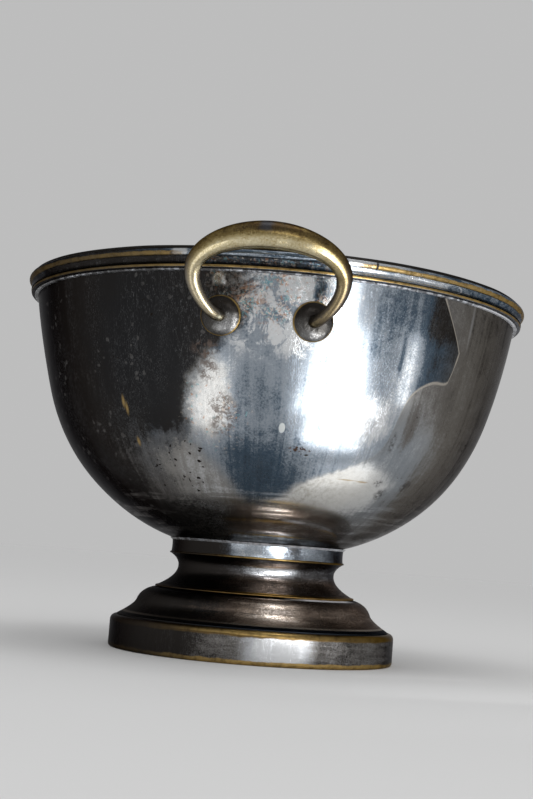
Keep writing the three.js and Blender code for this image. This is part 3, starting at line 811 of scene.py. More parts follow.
wall_centre = (
    mouth_radius - WALL_ARC * math.cos(MOUTH_LEAN),
    mouth_height + WALL_ARC * math.sin(MOUTH_LEAN),
)
belly_arc = (WALL_ARC ** 2 - (FLOOR_FLAT - wall_centre[0]) ** 2 - wall_centre[1] ** 2) / (
    2 * (WALL_ARC - wall_centre[1]))
belly_turn = math.acos((wall_centre[1] - belly_arc) / (WALL_ARC - belly_arc))
flare_centre = (
    mouth_radius + FLARE_ARC * math.cos(MOUTH_LEAN),
    mouth_height - FLARE_ARC * math.sin(MOUTH_LEAN),
)
lip_round = WALL / 2
lip_lean = math.asin((mouth_height + RIM_HEIGHT - lip_round - flare_centre[1]) / FLARE_ARC)


def bowl_line(inset):
    """Outer or inner line of the bowl, from the middle of its floor to its lip."""
    return [
        (0, inset),
        (FLOOR_FLAT / 2, inset),
        *arc((FLOOR_FLAT, belly_arc), belly_arc - inset, -QUARTER, belly_turn - QUARTER, 44),
        *arc(wall_centre, WALL_ARC - inset, belly_turn - QUARTER, -MOUTH_LEAN, 16)[1:],
        *arc(flare_centre, FLARE_ARC + inset, math.pi - MOUTH_LEAN, math.pi - lip_lean, 8)[1:],
    ]


outer_line = bowl_line(0)
inner_line = bowl_line(WALL)
lip_centre = blend(outer_line[-1], inner_line[-1], 0.5)
lip = arc(lip_centre, lip_round, -lip_lean, math.pi - lip_lean, 6)[1:-1]
bowl_outline = [(x, z + bowl_base) for x, z in [*outer_line, *lip, *reversed(inner_line)]]
bowl_shell = spin(trace("bowl_shell", bowl_outline), BOWL_STEPS)

# The hand and the years have left the sheet a little uneven, in long soft waves
waves = bpy.data.textures.new("sheet_waves", "CLOUDS")
waves.noise_scale = WAVE_SIZE
waves.noise_depth = 1
wavy = bowl_shell.modifiers.new("waves", "DISPLACE")
wavy.texture = waves
wavy.texture_coords = "LOCAL"
wavy.mid_level = 0.5
wavy.strength = WAVE_HEIGHT
bpy.ops.object.modifier_apply(modifier="waves")


def mark(piece, name, measure):
    """Writes a measure of each point on the piece, for its finish to read by name."""
    marks = piece.data.attributes.new(name, "FLOAT", "POINT")
    for point, place in zip(piece.data.vertices, marks.data):
        place.value = measure(point)


def faces_in(point):
    """1 on the inner face, which has a finish of its own, and 0 on the outer one."""
    outward = Vector((point.co.x, point.co.y, 0)).normalized() - Vector((0, 0, 1))
    return float(point.normal.dot(outward) < 0)


class BowlPlate(Finish):
    """Polished between and below the handles, blue grey beside them, warm grey towards +X, nearly
    black towards -X with painted shade, and brown under the belly with painted highlights in smears."""

    def __init__(self):
        super().__init__("bowl_plate")
        self.turn = self.turn_and_height()[0]
        left_edge = self.blend(self.step(self.z, 0.158, 0.215), POLISH_LEFT_LOW, POLISH_LEFT_HIGH)
        from_left = self.sum_of(self.less(self.turn, left_edge), (self.drift(95, 5, 0.7), 0.16))
        self.right_part = self.step(from_left, -0.06, 0.06)
        self.border = self.line(POLISH_BORDER)
        soft = self.blend(self.step(self.turn, 0.05, 0.3), 0.009, 0.0022)
        self.polished = self.times(self.above(self.border, soft), self.right_part)
        self.unpolished = self.without(self.polished)
        # Painted highlights: a pale patch on the left of the polish and a cream one low on the right
        self.painted_shine = self.times(self.right_part, self.patch(-13.5, 0.160, 6, 0.025, 1.1, 0.25))
        self.cream_highlight = self.times(self.unpolished, self.patch(22, 0.112, 16, 0.014, 0.5, 0.6))

    def tarnish(self):
        """The plate itself, from bright silver to black, with painted highlights and painted shade."""
        turn, height, polished = self.turn, self.z, self.polished
        # Painted shade: towards -X the plate goes nearly black, partly black tarnish, partly shade
        black = self.times(self.above(self.line(BLACK_BORDER), 0.016, 0.04), self.without(self.right_part))
        left = self.step(turn, math.radians(-12), math.radians(-44))
        far_right = self.step(turn, 0.7, 0.95)
        low = self.times(polished, self.step(height, 0.15, 0.105), self.step(turn, 0.33, 0.16))
        right = self.times(polished, self.step(turn, math.radians(34), math.radians(40)))
        high = self.times(polished, self.step(height, 0.198, 0.212), self.step(turn, 0.40, 0.62))
        cloud = self.step(self.noise(62, 8, 0.74, 0.5), 0.45, 0.56)
        cloud = self.times(cloud, self.patch(2, 0.211, 15, 0.026, 0.8, 0.4))
        trail = self.times(self.unpolished, self.patch(38, 0.124, 13, 0.034, 0.6, 0.7))
        # Painted highlights: pale glints low on the belly and lighter smears under it
        painted_glints = self.times(self.patch(9.5, 0.087, 9, 0.016, 0.5, 0.5), self.streaks(1.2, 420, 0.42, 0.6))
        smears = self.times(self.streaks(2.2, 330, 0.45, 0.66), self.step(height, 0.118, 0.09))
        tones = [(self.patch(*place), share) for share, *place in TONES.values()]
        tones += [(self.times(self.unpolished, self.patch(*place)), share)
                  for share, *place in UNPOLISHED_TONES.values()]
        shift = self.sum_of(
            0.1, (polished, -0.3), (low, 0.24), (right, 0.46), (high, 0.26), (self.painted_shine, -0.1),
            (cloud, -0.46), (far_right, 0.12), (left, 0.42), (black, 0.42), (self.cream_highlight, -0.7),
            (trail, -0.25), (smears, -0.25), (painted_glints, -0.7), (self.streaks(34, 9, 0.4, 0.7), 0.12), *tones)
        haze = self.mix(polished, (0.31, 0.30, 0.285, 1), HAZE_SILVER)
        haze = self.mix(trail, haze, (0.275, 0.30, 0.325, 1))
        cool_side = self.times(self.patch(-28, 0.185, 15, 0.055, 0.8, 0.7), 0.7)
        warm = self.mix(polished, WARM_TARNISH, NAVY_TARNISH)
        warm = self.mix(far_right, warm, (0.162, 0.150, 0.134, 1))
        warm = self.mix(cool_side, warm, NAVY_TARNISH)
        dark = self.mix(cool_side, DARK_TARNISH_AND_SHADE, COOL_TARNISH)
        self.silver(1.0, shift, self.sum_of(0.4, (polished, 0.12)), Haze=haze, Warm=warm, Dark=dark)

    def stains(self):
        """Coloured places: the painted pale highlight, brown and rust, a touch of teal, the painted cream
        highlight and the polish's edge.
        """
        self.layer(self.painted_shine, (0.62, 0.605, 0.57, 1), 0.2, 0.66)
        flecked = self.times(self.step(self.noise(260, 6, 0.75, 0.6), 0.47, 0.56), 0.75)
        brown = self.sum_of(0, *((self.patch(*place, 2.0, 0.4), 1) for place in BROWN_STAINS))
        rust = self.patch(-3.7, 0.2165, 3.4, 0.0065, 2.4, 0.4)
        teal = self.patch(0.4, 0.2262, 2.4, 0.0026, 2.6, 0.4)
        self.layer(brown, (0.12, 0.09, 0.075, 1), STAINED, flecked)
        self.layer(rust, (0.30, 0.165, 0.10, 1), STAINED, flecked)
        self.layer(teal, (0.10, 0.30, 0.36, 1), STAINED, flecked)
        mottle = self.step(self.noise(330, 6, 0.75), 0.44, 0.62)
        mottle = self.times(self.cream_highlight, mottle, self.blend(self.step(self.turn, 0.52, 0.2), 0.3, 1.0))
        self.layer(mottle, (0.26, 0.25, 0.23, 1))
        self.layer(self.cream_highlight, (0.88, 0.85, 0.77, 1), STAINED, 0.5)
        from_edge = self.times(self.border, self.blend(self.step(self.z, 0.180, 0.196), 1.0, 0.16))
        edge = self.times(self.step(from_edge, -0.0016, -0.0004), self.step(from_edge, 0.0012, 0),
                          self.patch(42, 0.195, 12, 0.05, 1.2, 0.4))
        self.layer(edge, (0.5, 0.46, 0.4, 1), share=0.8)
        clumps = self.blend(self.step(self.noise(70, 5, 0.7), 0.42, 0.56), 0.12, 0.7)
        self.flakes(self.times(self.patch(2.5, 0.2195, 13, 0.020, 1.6, 0.5), clumps), 820, 0.5)
        self.flakes(self.times(self.patch(-11, 0.150, 7, 0.02, 2.0, 0.4), 0.6), 700, 0.12)

    def marks(self):
        """A dried drop, a score and chips, dull smudges, brass-coloured painted glints on the left and two
        thin brass lines.
        """
        self.layer(self.patch(5.4, 0.143, 0.75, 0.0028, 0.4, 0.12), (0.46, 0.48, 0.48, 1), DULL)
        self.layer(self.patch(50.8, 0.218, 0.4, 0.013, 1.2, 0.8), (0.5, 0.5, 0.51, 1), share=0.35)
        chips = self.step(self.noise(620, 3), 0.47, 0.55)
        chips = self.times(chips, self.patch(10.2, 0.1315, 3.6, 0.0018, 3.0, 0.25))
        self.layer(chips, (0.045, 0.027, 0.02, 1), 0.5)
        rough = self.step(self.noise(420, 5, 0.7), 0.6, 0.45)
        dark_patch = self.patch(-26, 0.0875, 13, 0.011, 1.8, 0.3)
        self.layer(dark_patch, (0.03, 0.028, 0.026, 1), 0.45, self.blend(rough, 0.45, 1.0))
        smudges = self.sum_of(0, *((self.patch(*place, 2.0, 0.5), 0.8) for place in SMUDGES))
        self.layer(smudges, (0.07, 0.068, 0.066, 1), DULL, rough)
        for place in BRASS_GLINTS_AND_LINES:
            self.layer(self.patch(*place, 1.2, 0.95), WORN_BRASS, 0.22, 0.8)
        self.pits(330, 0.62, self.sum_of(-0.02, (self.patch(-23, 0.112, 10, 0.02, 0.6, 0.5), 0.3)))
        self.hairlines(1.0, 0.5)
        self.specks(self.without(self.right_part))

    def lip_and_inside(self):
        """The thin lip is dark with painted shade, and the inner face is plain tarnished plate."""
        # Painted shade on the thin lip
        lip = self.step(self.z, roll_high.z - 0.0006, roll_high.z + 0.0001)
        self.layer(lip, LIP_SHADE, DULL)
        self.layer(self.marked("inner_face"), *self.use(TARNISH, Size=0.7, Shift=0.02))


mark(bowl_shell, "inner_face", faces_in)
bowl_plate = BowlPlate()
bowl_plate.tarnish()
bowl_plate.stains()
bowl_plate.marks()
bowl_plate.lip_and_inside()
fit(bowl_shell, bowl_plate.done(), "bowl")

# Solder. Soft solder run into the seams: a fillet under the rim mount and one round the collar's
# top. It was wiped by hand, so it swells and thins along the seam, and it breaks off in places.
SOLDER_CUT = 0.0002
SOLDER_SLANT = 0.0003
SEAT_LIP = 0.0012
SEAT_FALLS = (0.0001, 0.0004, 0.0006)

seam_low, seam_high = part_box("seat_solder")


def solder_finish():
    """Grey and lumpy, less like metal than the plate, with a bright run at -X in that side's painted
    shade.
    """
    finish = Finish("soft_solder")
    drops = finish.streaks(16, 40, 0.42, 0.6)
    blob = finish.patch(-47, solder_low.z, 2.2, 0.02, 0.8, 0.4)
    thick = finish.patch(64, solder_low.z, 13, 0.02, 0.8, 0.5)
    shift = finish.sum_of(0.06, (finish.painted_shade_side(), 0.4), (drops, -0.35), (blob, -0.6), (thick, -0.3))
    finish.silver(2.0, shift, Clean=(0.62, 0.63, 0.66, 1), Haze=(0.42, 0.44, 0.48, 1),
                  Warm=(0.28, 0.28, 0.29, 1))
    breaks = finish.step(finish.noise(300, 4, 0.6), 0.43, 0.54)
    breaks = finish.times(breaks, finish.without(thick), finish.step(finish.z, 0.1, 0.2))
    finish.layer(breaks, (0.05, 0.05, 0.052, 1), share=0.85)
    finish.hairlines(2.0, 0.5)
    finish.shader["Metallic"].default_value = 0.45
    finish.raise_by(finish.noise(240, 4), 1.4)
    return finish.done(0.0003)


SOLDER = solder_finish()
solder_back = mouth_radius - SOLDER_CUT
solder_outline = [
    (solder_back, solder_low.z),
    *nose(solder_high.x, solder_low.z, solder_high.z, 8),
    (solder_back + SOLDER_SLANT, solder_high.z),
]
turned("rim_seam", solder_outline, SOLDER, "rim_solder", BOWL_STEPS)

seat_back = collar_radius + SEAT_GAP / 2
seat_front = (seam_high.x, seam_high.x - SEAT_LIP, seat_back)
seat_outline = [
    (seat_back, seam_low.z),
    *((x, seam_high.z - fall) for x, fall in zip(seat_front, SEAT_FALLS)),
]
turned("seat_seam", seat_outline, SOLDER, "seat_solder")

# Rim mount. Three drawn strips stacked on the flare: a thin brass bead, a hollowed silver band
# and a half-round roll. The roll and the bead are worn to brass for most of their length.
BAND_HOLLOW = 0.0012

bead_low, bead_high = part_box("rim_bead")
strip_low, strip_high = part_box("rim_band")
strip_middle = (strip_low.z + strip_high.z) / 2


def flare_radius(z):
    """Outer radius of the flared wall at a height."""
    return flare_centre[0] - math.sqrt(FLARE_ARC ** 2 - (z - bowl_base - flare_centre[1]) ** 2)


def rim_strip(name, face, low, high, material, node):
    """A strip with a face of its own and a back that follows the flare."""
    back = [(flare_radius(z) + SEAT_GAP, z) for z in (high.z, (low.z + high.z) / 2, low.z)]
    turned(name, [*face, *back], material, node, BOWL_STEPS)


def bead_brass():
    """Plate worn through to brass along its middle, all round, with painted shade towards -X."""
    finish = Finish("bead_brass")
    finish.silver(1.6, finish.sum_of(0.1, (finish.painted_shade_side(), 0.3)))
    finish.worn((bead_low.z + bead_high.z) / 2, 0.0007, 0.4)
    finish.paint_side_shade(0.75)
    finish.hairlines(1.5, 0.5)
    return finish.done()


def strip_plate():
    """Bluish plate, dim above the left shoulder and bright on the right, with stained flakes in
    the middle, a small ring left by a drop, and painted shade towards -X."""
    finish = Finish("strip_plate")
    dim = finish.patch(-20, strip_high.z, 38, 0.05, 1.0)
    bright = finish.patch(26, strip_high.z, 13, 0.05, 1.2)
    worn = finish.patch(52, strip_high.z, 16, 0.05, 1.4)
    shift = finish.sum_of(0.14, (finish.painted_shade_side(), 0.3), (dim, 0.2), (bright, -0.36), (worn, -0.1),
                          (finish.streaks(30, 300, 0.45, 0.65), 0.16))
    finish.silver(1.6, shift, Warm=NAVY_TARNISH)
    tinted = finish.patch(2, strip_high.z, 14, 0.05, 1.4)
    finish.flakes(finish.times(tinted, 0.3), 900, 0.3)
    drop = finish.patch(41.4, strip_middle, 2.5, 0.0025, 0.2, 0.12)
    inside = finish.patch(41.4, strip_middle, 2.1, 0.0021, 0.2, 0.12)
    finish.layer(finish.times(drop, finish.without(inside)), CLEAN_SILVER, share=0.6)
    finish.hairlines(1.3, 0.8)
    return finish.done()


def roll_brass():
    """Brass to the left and right, plated between the handle's ends, with one dark nick, painted shade
    along its top and painted shade towards -X.
    """
    finish = Finish("roll_brass")
    plated = finish.patch(-1, roll_low.z, 18.5, 0.05, 0.7, 0.12)
    bright = finish.patch(22, roll_low.z, 7, 0.05, 0.8, 0.3)
    tip = finish.patch(-18.5, roll_low.z, 1.5, 0.05, 0.6, 0.4)
    shift = finish.sum_of(0.2, (finish.painted_shade_side(), 0.4), (bright, -0.4), (tip, -0.6),
                          (finish.streaks(8, 600, 0.4, 0.6), -0.25))
    finish.silver(1.4, shift, Warm=NAVY_TARNISH)
    finish.worn(roll_low.z + 0.0013, 0.0012, 1.0, finish.without(plated))
    finish.layer(finish.patch(21.5, roll_low.z + 0.0015, 0.25, 0.003, 0.8, 0.3), DARK_TARNISH_AND_SHADE, 0.5)
    finish.paint_side_shade(0.75)
    # Painted shade along the top of the roll
    top = finish.step(finish.z, roll_high.z - 0.0013, roll_high.z - 0.0006)
    finish.layer(top, LIP_SHADE, DULL)
    finish.hairlines(1.3, 0.6)
    return finish.done()


bead_face = nose(bead_high.x, bead_low.z, bead_high.z, 12)
strip_hollow = (strip_high.x - 2 * BAND_HOLLOW, strip_middle)
strip_face = sweep((strip_high.x, strip_low.z), strip_hollow, (strip_high.x, strip_high.z), 12)
roll_face = nose(rim_radius, roll_low.z, roll_high.z, 16)
rim_strip("rim_thread", bead_face, bead_low, bead_high, bead_brass(), "rim_bead")
rim_strip("rim_hollow", strip_face, strip_low, strip_high, strip_plate(), "rim_band")
rim_strip("rim_round", roll_face, roll_low, roll_high, roll_brass(), "rim_roll")

# Roundels. Domed discs soldered to the wall where a handle's ends come in, with a thin edge worn
# to brass. Each is spun about its own axis, then set square to the wall.
ROUNDEL_RADIUS = 0.012
ROUNDEL_EDGE = 0.0016
ROUNDEL_HEIGHT = 0.005
ROUNDEL_NECK = 0.0046
ROUNDEL_WORN_EDGE = 0.0005
BREAK = 0.0003
ROOT_SPREAD = 0.0269
ROOT_DROP = 0.0253
DOME_TURN = 0.35
SMALL_STEPS = 64
LOOPS = (("front", False), ("rear", True))
ROOTS = [(place, rear, side, hand) for place, rear in LOOPS for side, hand in (("right", 1), ("left", -1))]

root_height = solder_low.z - ROOT_DROP
root_pitch = math.asin((wall_centre[1] + bowl_base - root_height) / WALL_ARC)
root_radius = wall_centre[0] + WALL_ARC * math.cos(root_pitch)
root_turn = math.asin(ROOT_SPREAD / root_radius)


def root_at(hand, rear):
    """A handle's root on the wall and the wall's outward normal there."""
    turn = hand * root_turn
    outward = Vector((math.sin(turn) * math.cos(root_pitch), -math.cos(turn) * math.cos(root_pitch),
                      -math.sin(root_pitch)))
    point = Vector((root_radius * math.sin(turn), -root_radius * math.cos(turn), root_height))
    if rear:
        half_turn = Matrix.Rotation(math.pi, 3, "Z")
        return half_turn @ point, half_turn @ outward
    return point, outward


def set_on_root(piece, hand, rear):
    """Stands a piece made about its own Z axis on a root, its Z along the wall's normal."""
    point, outward = root_at(hand, rear)
    piece.matrix_world = Matrix.Translation(point) @ outward.to_track_quat("Z", "Y").to_matrix().to_4x4()


def roundel_finish():
    """Painted shade on the upper half under the handle, a painted highlight on the left roundels, and
    painted light lower down.
    """
    finish = Finish("roundel_plate")
    # Painted shade above, a painted highlight on the left roundels' inner side, and painted light below
    upper = finish.step(finish.z, root_height - 0.001, root_height + 0.006)
    painted_highlight_spot = finish.patch(-8.2, root_height - 0.004, 2.4, 0.006, 0.8, 0.5)
    lower = finish.step(finish.z, root_height - 0.004, root_height - 0.009)
    shift = finish.sum_of(0.28, (upper, 0.5), (painted_highlight_spot, -0.3), (lower, -0.14))
    finish.silver(2.4, shift, 0.8, Haze=(0.25, 0.25, 0.25, 1), Warm=(0.075, 0.072, 0.068, 1))
    finish.hairlines(2.0, 0.6)
    finish.layer(finish.marked("worn_edge"), WORN_BRASS, 0.28)
    finish.raise_by(finish.noise(190, 3, 0.6, 0.8), 1.2)
    return finish.done(0.0004)


def at_edge(point):
    """1 on a roundel's thin edge while it stands on its own Z axis, and 0 elsewhere."""
    return float(point.co.xy.length > ROUNDEL_RADIUS - ROUNDEL_WORN_EDGE)


ROUNDEL_PLATE = roundel_finish()
dome_foot = (ROUNDEL_RADIUS, ROUNDEL_EDGE)
dome_top = (ROUNDEL_NECK, ROUNDEL_HEIGHT)
dome_control = (dome_foot[0] + (dome_top[0] - dome_foot[0]) * DOME_TURN, ROUNDEL_HEIGHT)
roundel_outline = [
    (0, SEAT_GAP),
    (ROUNDEL_RADIUS - BREAK, SEAT_GAP),
    (ROUNDEL_RADIUS, SEAT_GAP + BREAK),
    *sweep(dome_foot, dome_control, dome_top, 14),
    (0, ROUNDEL_HEIGHT),
]
for place, rear, side, hand in ROOTS:
    roundel = spin(trace(f"boss_{place}_{side}", roundel_outline), SMALL_STEPS)
    mark(roundel, "worn_edge", at_edge)
    set_on_root(roundel, hand, rear)
    fit(roundel, ROUNDEL_PLATE, f"roundel_{place}_{side}")

# Handles. Cast brass loops, thick at the grip and drawn down to both ends, which turn in to the
# roundels. Their spigots pass through the wall and are riveted over small washers inside.
GRIP_RADIUS = 0.008
GRIP_END_RADIUS = 0.0035
GRIP_TAPER = 2.8
GRIP_RISE = 0.0005
LIP_TO_GRIP = 0.0009
FINGER_GAP = 0.0236
LOOP_HALF_WIDTH = 0.043
LOOP_STANDOFF = 0.018
TURN_ANGLE = math.radians(55)
TURN_REACH = 0.015
HANDLE_STATIONS = 72
TURN_STATIONS = 26
HANDLE_ROUNDNESS = 10
NEAR_END = 0.999
SPIGOT_RADIUS = 0.0025
RIVET_HEAD_RADIUS = 0.0038
RIVET_HEAD_HEIGHT = 0.0016
RIVET_EDGE = 0.0002
RIVET_STEPS = 40
ROVE_THICKNESS = 0.0012
CAD_WALL_SIDES = 40
SKIN = 0.00006

loop_top = Vector((0, -(rim_radius + FINGER_GAP + GRIP_RADIUS), bowl_high.z - LIP_TO_GRIP + GRIP_RISE))
loop_foot = Vector((0, -(root_radius * math.cos(root_turn) + LOOP_STANDOFF),
                    root_height + LOOP_STANDOFF * math.tan(root_pitch)))
loop_up = (loop_top - loop_foot).normalized()
loop_end = math.pi - math.asin(ROOT_SPREAD / LOOP_HALF_WIDTH)
loop_rise = (loop_top - loop_foot).length / (1 - math.cos(loop_end))
loop_centre = loop_top - loop_up * loop_rise


def loop_point(share):
    """A point on the loop, by its share of the way from the left leg to the right one."""
    angle = (1 - 2 * share) * (TURN_ANGLE - loop_end)
    return (loop_centre + loop_up * (loop_rise * math.cos(angle))
            + Vector((LOOP_HALF_WIDTH * math.sin(angle), 0, 0)))


def bezier(points, t):
    """A point on the smooth curve that the points control."""
    while len(points) > 1:
        points = [a.lerp(b, t) for a, b in zip(points, points[1:])]
    return points[0]


def handle_line():
    """Centre line of the handle from its left root to its right one."""
    point, outward = root_at(1, False)
    landing = point + outward * (ROUNDEL_HEIGHT - SEAT_GAP)
    end = loop_point(1)
    along = (end - loop_point(NEAR_END)).normalized()
    turn_in = [end, end + along * TURN_REACH, landing + outward * TURN_REACH, landing]
    right = [bezier(turn_in, i / TURN_STATIONS) for i in range(1, TURN_STATIONS + 1)]
    loop = [loop_point(i / HANDLE_STATIONS) for i in range(HANDLE_STATIONS + 1)]
    left = [Vector((-p.x, p.y, p.z)) for p in reversed(right)]
    return [*left, *loop, *right]


def handle_piece(name, line):
    """A path along the centre line, thickened by a radius at each point and made a mesh."""
    travelled = [0.0]
    for a, b in zip(line, line[1:]):
        travelled.append(travelled[-1] + (b - a).length)
    clear_selection()
    bpy.ops.curve.primitive_nurbs_path_add(location=(0, 0, 0))
    path = bpy.context.object
    path.name = name
    path.data.splines.clear()
    spline = path.data.splines.new("POLY")
    spline.points.add(len(line) - 1)
    for point, place, way in zip(spline.points, line, travelled):
        share = abs(2 * way / travelled[-1] - 1)
        swell = max(math.cos(QUARTER * share), 0) ** GRIP_TAPER
        point.co = (*place, 1)
        point.radius = GRIP_END_RADIUS + (GRIP_RADIUS - GRIP_END_RADIUS) * swell - SKIN
    path.data.dimensions = "3D"
    path.data.twist_mode = "MINIMUM"
    path.data.bevel_depth = 1.0
    path.data.bevel_resolution = HANDLE_ROUNDNESS
    path.data.use_fill_caps = True
    bpy.ops.object.convert(target="MESH")
    return bpy.context.object


centre_line = handle_line()


def faces_out(point):
    """How far a point of the handle faces out from the loop, from -1 inside it to 1 outside it."""
    middle = min(centre_line, key=lambda place: (place - point.co).length_squared)
    return (point.co - middle).normalized().dot((middle - loop_centre).normalized())


wall_sag = root_radius * (1 - math.cos(math.pi / CAD_WALL_SIDES))
rove_top = -(WALL + wall_sag + SEAT_GAP)
head_top = rove_top - ROVE_THICKNESS - SEAT_GAP
head_foot = head_top - RIVET_HEAD_HEIGHT
spigot_outline = [
    (0, ROUNDEL_HEIGHT),
    (SPIGOT_RADIUS, ROUNDEL_HEIGHT),
    (SPIGOT_RADIUS, head_top),
    (RIVET_HEAD_RADIUS, head_top),
    *sweep((RIVET_HEAD_RADIUS, head_top - RIVET_EDGE), (RIVET_HEAD_RADIUS, head_foot),
           (0, head_foot + SKIN), 10),
]


def riveted_end(name, hand, rear):
    """A spigot through the roundel and the wall, hammered to a dome over its washer inside."""
    end = spin(trace(name, spigot_outline), RIVET_STEPS)
    set_on_root(end, hand, rear)
    return end


def handle_finish():
    """Olive brass with painted shade on the sides facing out of and into the loop, so bright along the
    middle, and darker legs with a pale painted highlight, strongest on the left.
    """
    finish = Finish("handle_brass")
    outer = finish.marked("outer_side")
    # Painted shade on the side facing out of the loop and along its inner edge
    shaded_sides = finish.math("MAXIMUM", finish.step(outer, 0.15, 0.85), finish.step(outer, -0.55, -0.95))
    middle = finish.patch(0, 0.2524, 5, 0.007, 1.4, 0.3)
    stipple = finish.step(finish.noise(560, 5, 0.8), 0.52, 0.64)
    legs = finish.step(finish.z, 0.236, 0.216)
    right_leg = finish.times(legs, finish.step(finish.x, 0, 0.01))
    shift = finish.sum_of(-0.24, (shaded_sides, 0.62), (middle, 0.12), (stipple, 0.2), (legs, 0.22),
                          (right_leg, 0.26))
    finish.silver(1.2, shift, 0.7, Clean=(0.74, 0.66, 0.45, 1), Haze=(0.42, 0.335, 0.165, 1),
                  Warm=(0.19, 0.135, 0.05, 1), Dark=(0.05, 0.032, 0.016, 1))
    finish.layer(finish.patch(-0.6, 0.2475, 1.1, 0.004, 3.6, 0.4), (0.045, 0.045, 0.05, 1), DULL)
    # A pale painted highlight on the legs, strongest on the left leg
    finish.layer(finish.sum_of(0, (legs, 0.38), (right_leg, -0.24)), (0.57, 0.54, 0.47, 1))
    finish.layer(finish.patch(2.1, 0.2505, 0.13, 0.0022, 0.5, 0.3), (0.04, 0.032, 0.026, 1), 0.5)
    finish.pits(520, 0.58)
    finish.hairlines(2.0, 0.6, (0.7, 0.6, 0.36, 1))
    return finish.done(0.0001)


HANDLE_BRASS = handle_finish()
for place, rear in LOOPS:
    handle = handle_piece(f"loop_{place}", centre_line)
    mark(handle, "outer_side", faces_out)
    if rear:
        handle.rotation_euler.z = math.pi
        apply_place()
    ends = [riveted_end(f"spigot_{place}_{hand}", hand, rear) for hand in (1, -1)]
    clear_selection()
    for end in ends:
        end.select_set(True)
    pick(handle)
    bpy.ops.object.join()
    fit(handle, HANDLE_BRASS, f"handle_{place}")

# Fastenings. Turned brass that nobody sees: a small washer under each riveted end inside the
# bowl, and under its floor the stud, dished plate, washer and nut that pull the foot up.
ROVE_RADIUS = 0.006
STUD_RADIUS = 0.004
STUD_THREAD_PITCH = 0.00125
STUD_THREAD_DEPTH = 0.0005
STUD_CHAMFER = 0.001
STUD_PAD_RADIUS = 0.011
STUD_PAD_HEIGHT = 0.002
STUD_STEPS = 48
PLATE_FLAT = 0.016
PLATE_SHOULDER = 0.004
PLATE_FALL = 0.0002
PLATE_SWELL = 0.0004
PLATE_THICKNESS = 0.002
PLATE_STEPS = 96
NUT_BLANK = 1.5
NUT_CHAMFER = 0.0011
NUT_FLAT_INSET = 0.0002
HOLE_GAP = 0.0003


def turned_brass():
    """Plain brass with the lathe's fine rings, never plated."""
    finish = Finish("turned_brass")
    finish.silver(2.4, 0.05, Clean=(0.62, 0.48, 0.24, 1), Haze=(0.45, 0.33, 0.14, 1),
                  Warm=(0.25, 0.165, 0.07, 1), Dark=(0.09, 0.06, 0.032, 1))
    finish.turning_marks(0.0006, 0.1)
    finish.hairlines(2.4, 0.5, (0.7, 0.58, 0.33, 1))
    return finish.done()


def washer(hole, radius, low, high):
    """Outline of a washer, its lower outer edge broken."""
    return [(hole, low), (radius - BREAK, low), (radius, low + BREAK), (radius, high), (hole, high)]


TURNED_BRASS = turned_brass()
rove_outline = washer(SPIGOT_RADIUS + HOLE_GAP, ROVE_RADIUS, rove_top - ROVE_THICKNESS, rove_top)
for place, rear, side, hand in ROOTS:
    rove = spin(trace(f"washer_{place}_{side}", rove_outline), RIVET_STEPS)
    set_on_root(rove, hand, rear)
    fit(rove, TURNED_BRASS, f"rove_{place}_{side}")

stud_low, stud_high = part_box("bowl_stud")
washer_low, washer_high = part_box("clamp_washer")
nut_low, nut_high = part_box("clamp_nut")
plate_low, plate_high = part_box("clamp_plate")
bolt_hole = STUD_RADIUS + HOLE_GAP

thread_top = washer_high.z
thread_turns = round((thread_top - stud_low.z - STUD_CHAMFER) / STUD_THREAD_PITCH)
stud_outline = [
    (0, stud_high.z),
    (STUD_PAD_RADIUS, stud_high.z),
    (STUD_PAD_RADIUS, stud_high.z - STUD_PAD_HEIGHT),
    (STUD_RADIUS, stud_high.z - STUD_PAD_HEIGHT),
]
for i in range(thread_turns):
    crest = thread_top - i * STUD_THREAD_PITCH
    stud_outline.append((STUD_RADIUS, crest))
    stud_outline.append((STUD_RADIUS - STUD_THREAD_DEPTH, crest - STUD_THREAD_PITCH / 2))
stud_outline += [
    (STUD_RADIUS, stud_low.z + STUD_CHAMFER),
    (STUD_RADIUS - STUD_CHAMFER, stud_low.z),
    (0, stud_low.z),
]
turned("stud_screw", stud_outline, TURNED_BRASS, "bowl_stud", STUD_STEPS)


def plate_line(lift):
    """One side of the plate: flat about the bolt, then dished down to its rim."""
    flat, rim = plate_high.z - PLATE_THICKNESS + lift, plate_low.z + lift
    control = ((PLATE_FLAT + plate_high.x) / 2, (flat + rim) / 2 + PLATE_SWELL)
    return [(bolt_hole, flat), (PLATE_FLAT, flat),
            *sweep((PLATE_FLAT + PLATE_SHOULDER, flat - PLATE_FALL), control, (plate_high.x, rim), 8)]


plate_outline = [*plate_line(0), *reversed(plate_line(PLATE_THICKNESS))]
turned("foot_plate", plate_outline, TURNED_BRASS, "clamp_plate", PLATE_STEPS)

washer_outline = washer(bolt_hole, washer_high.x, washer_low.z, washer_high.z)
turned("foot_washer", washer_outline, TURNED_BRASS, "clamp_washer", SMALL_STEPS)

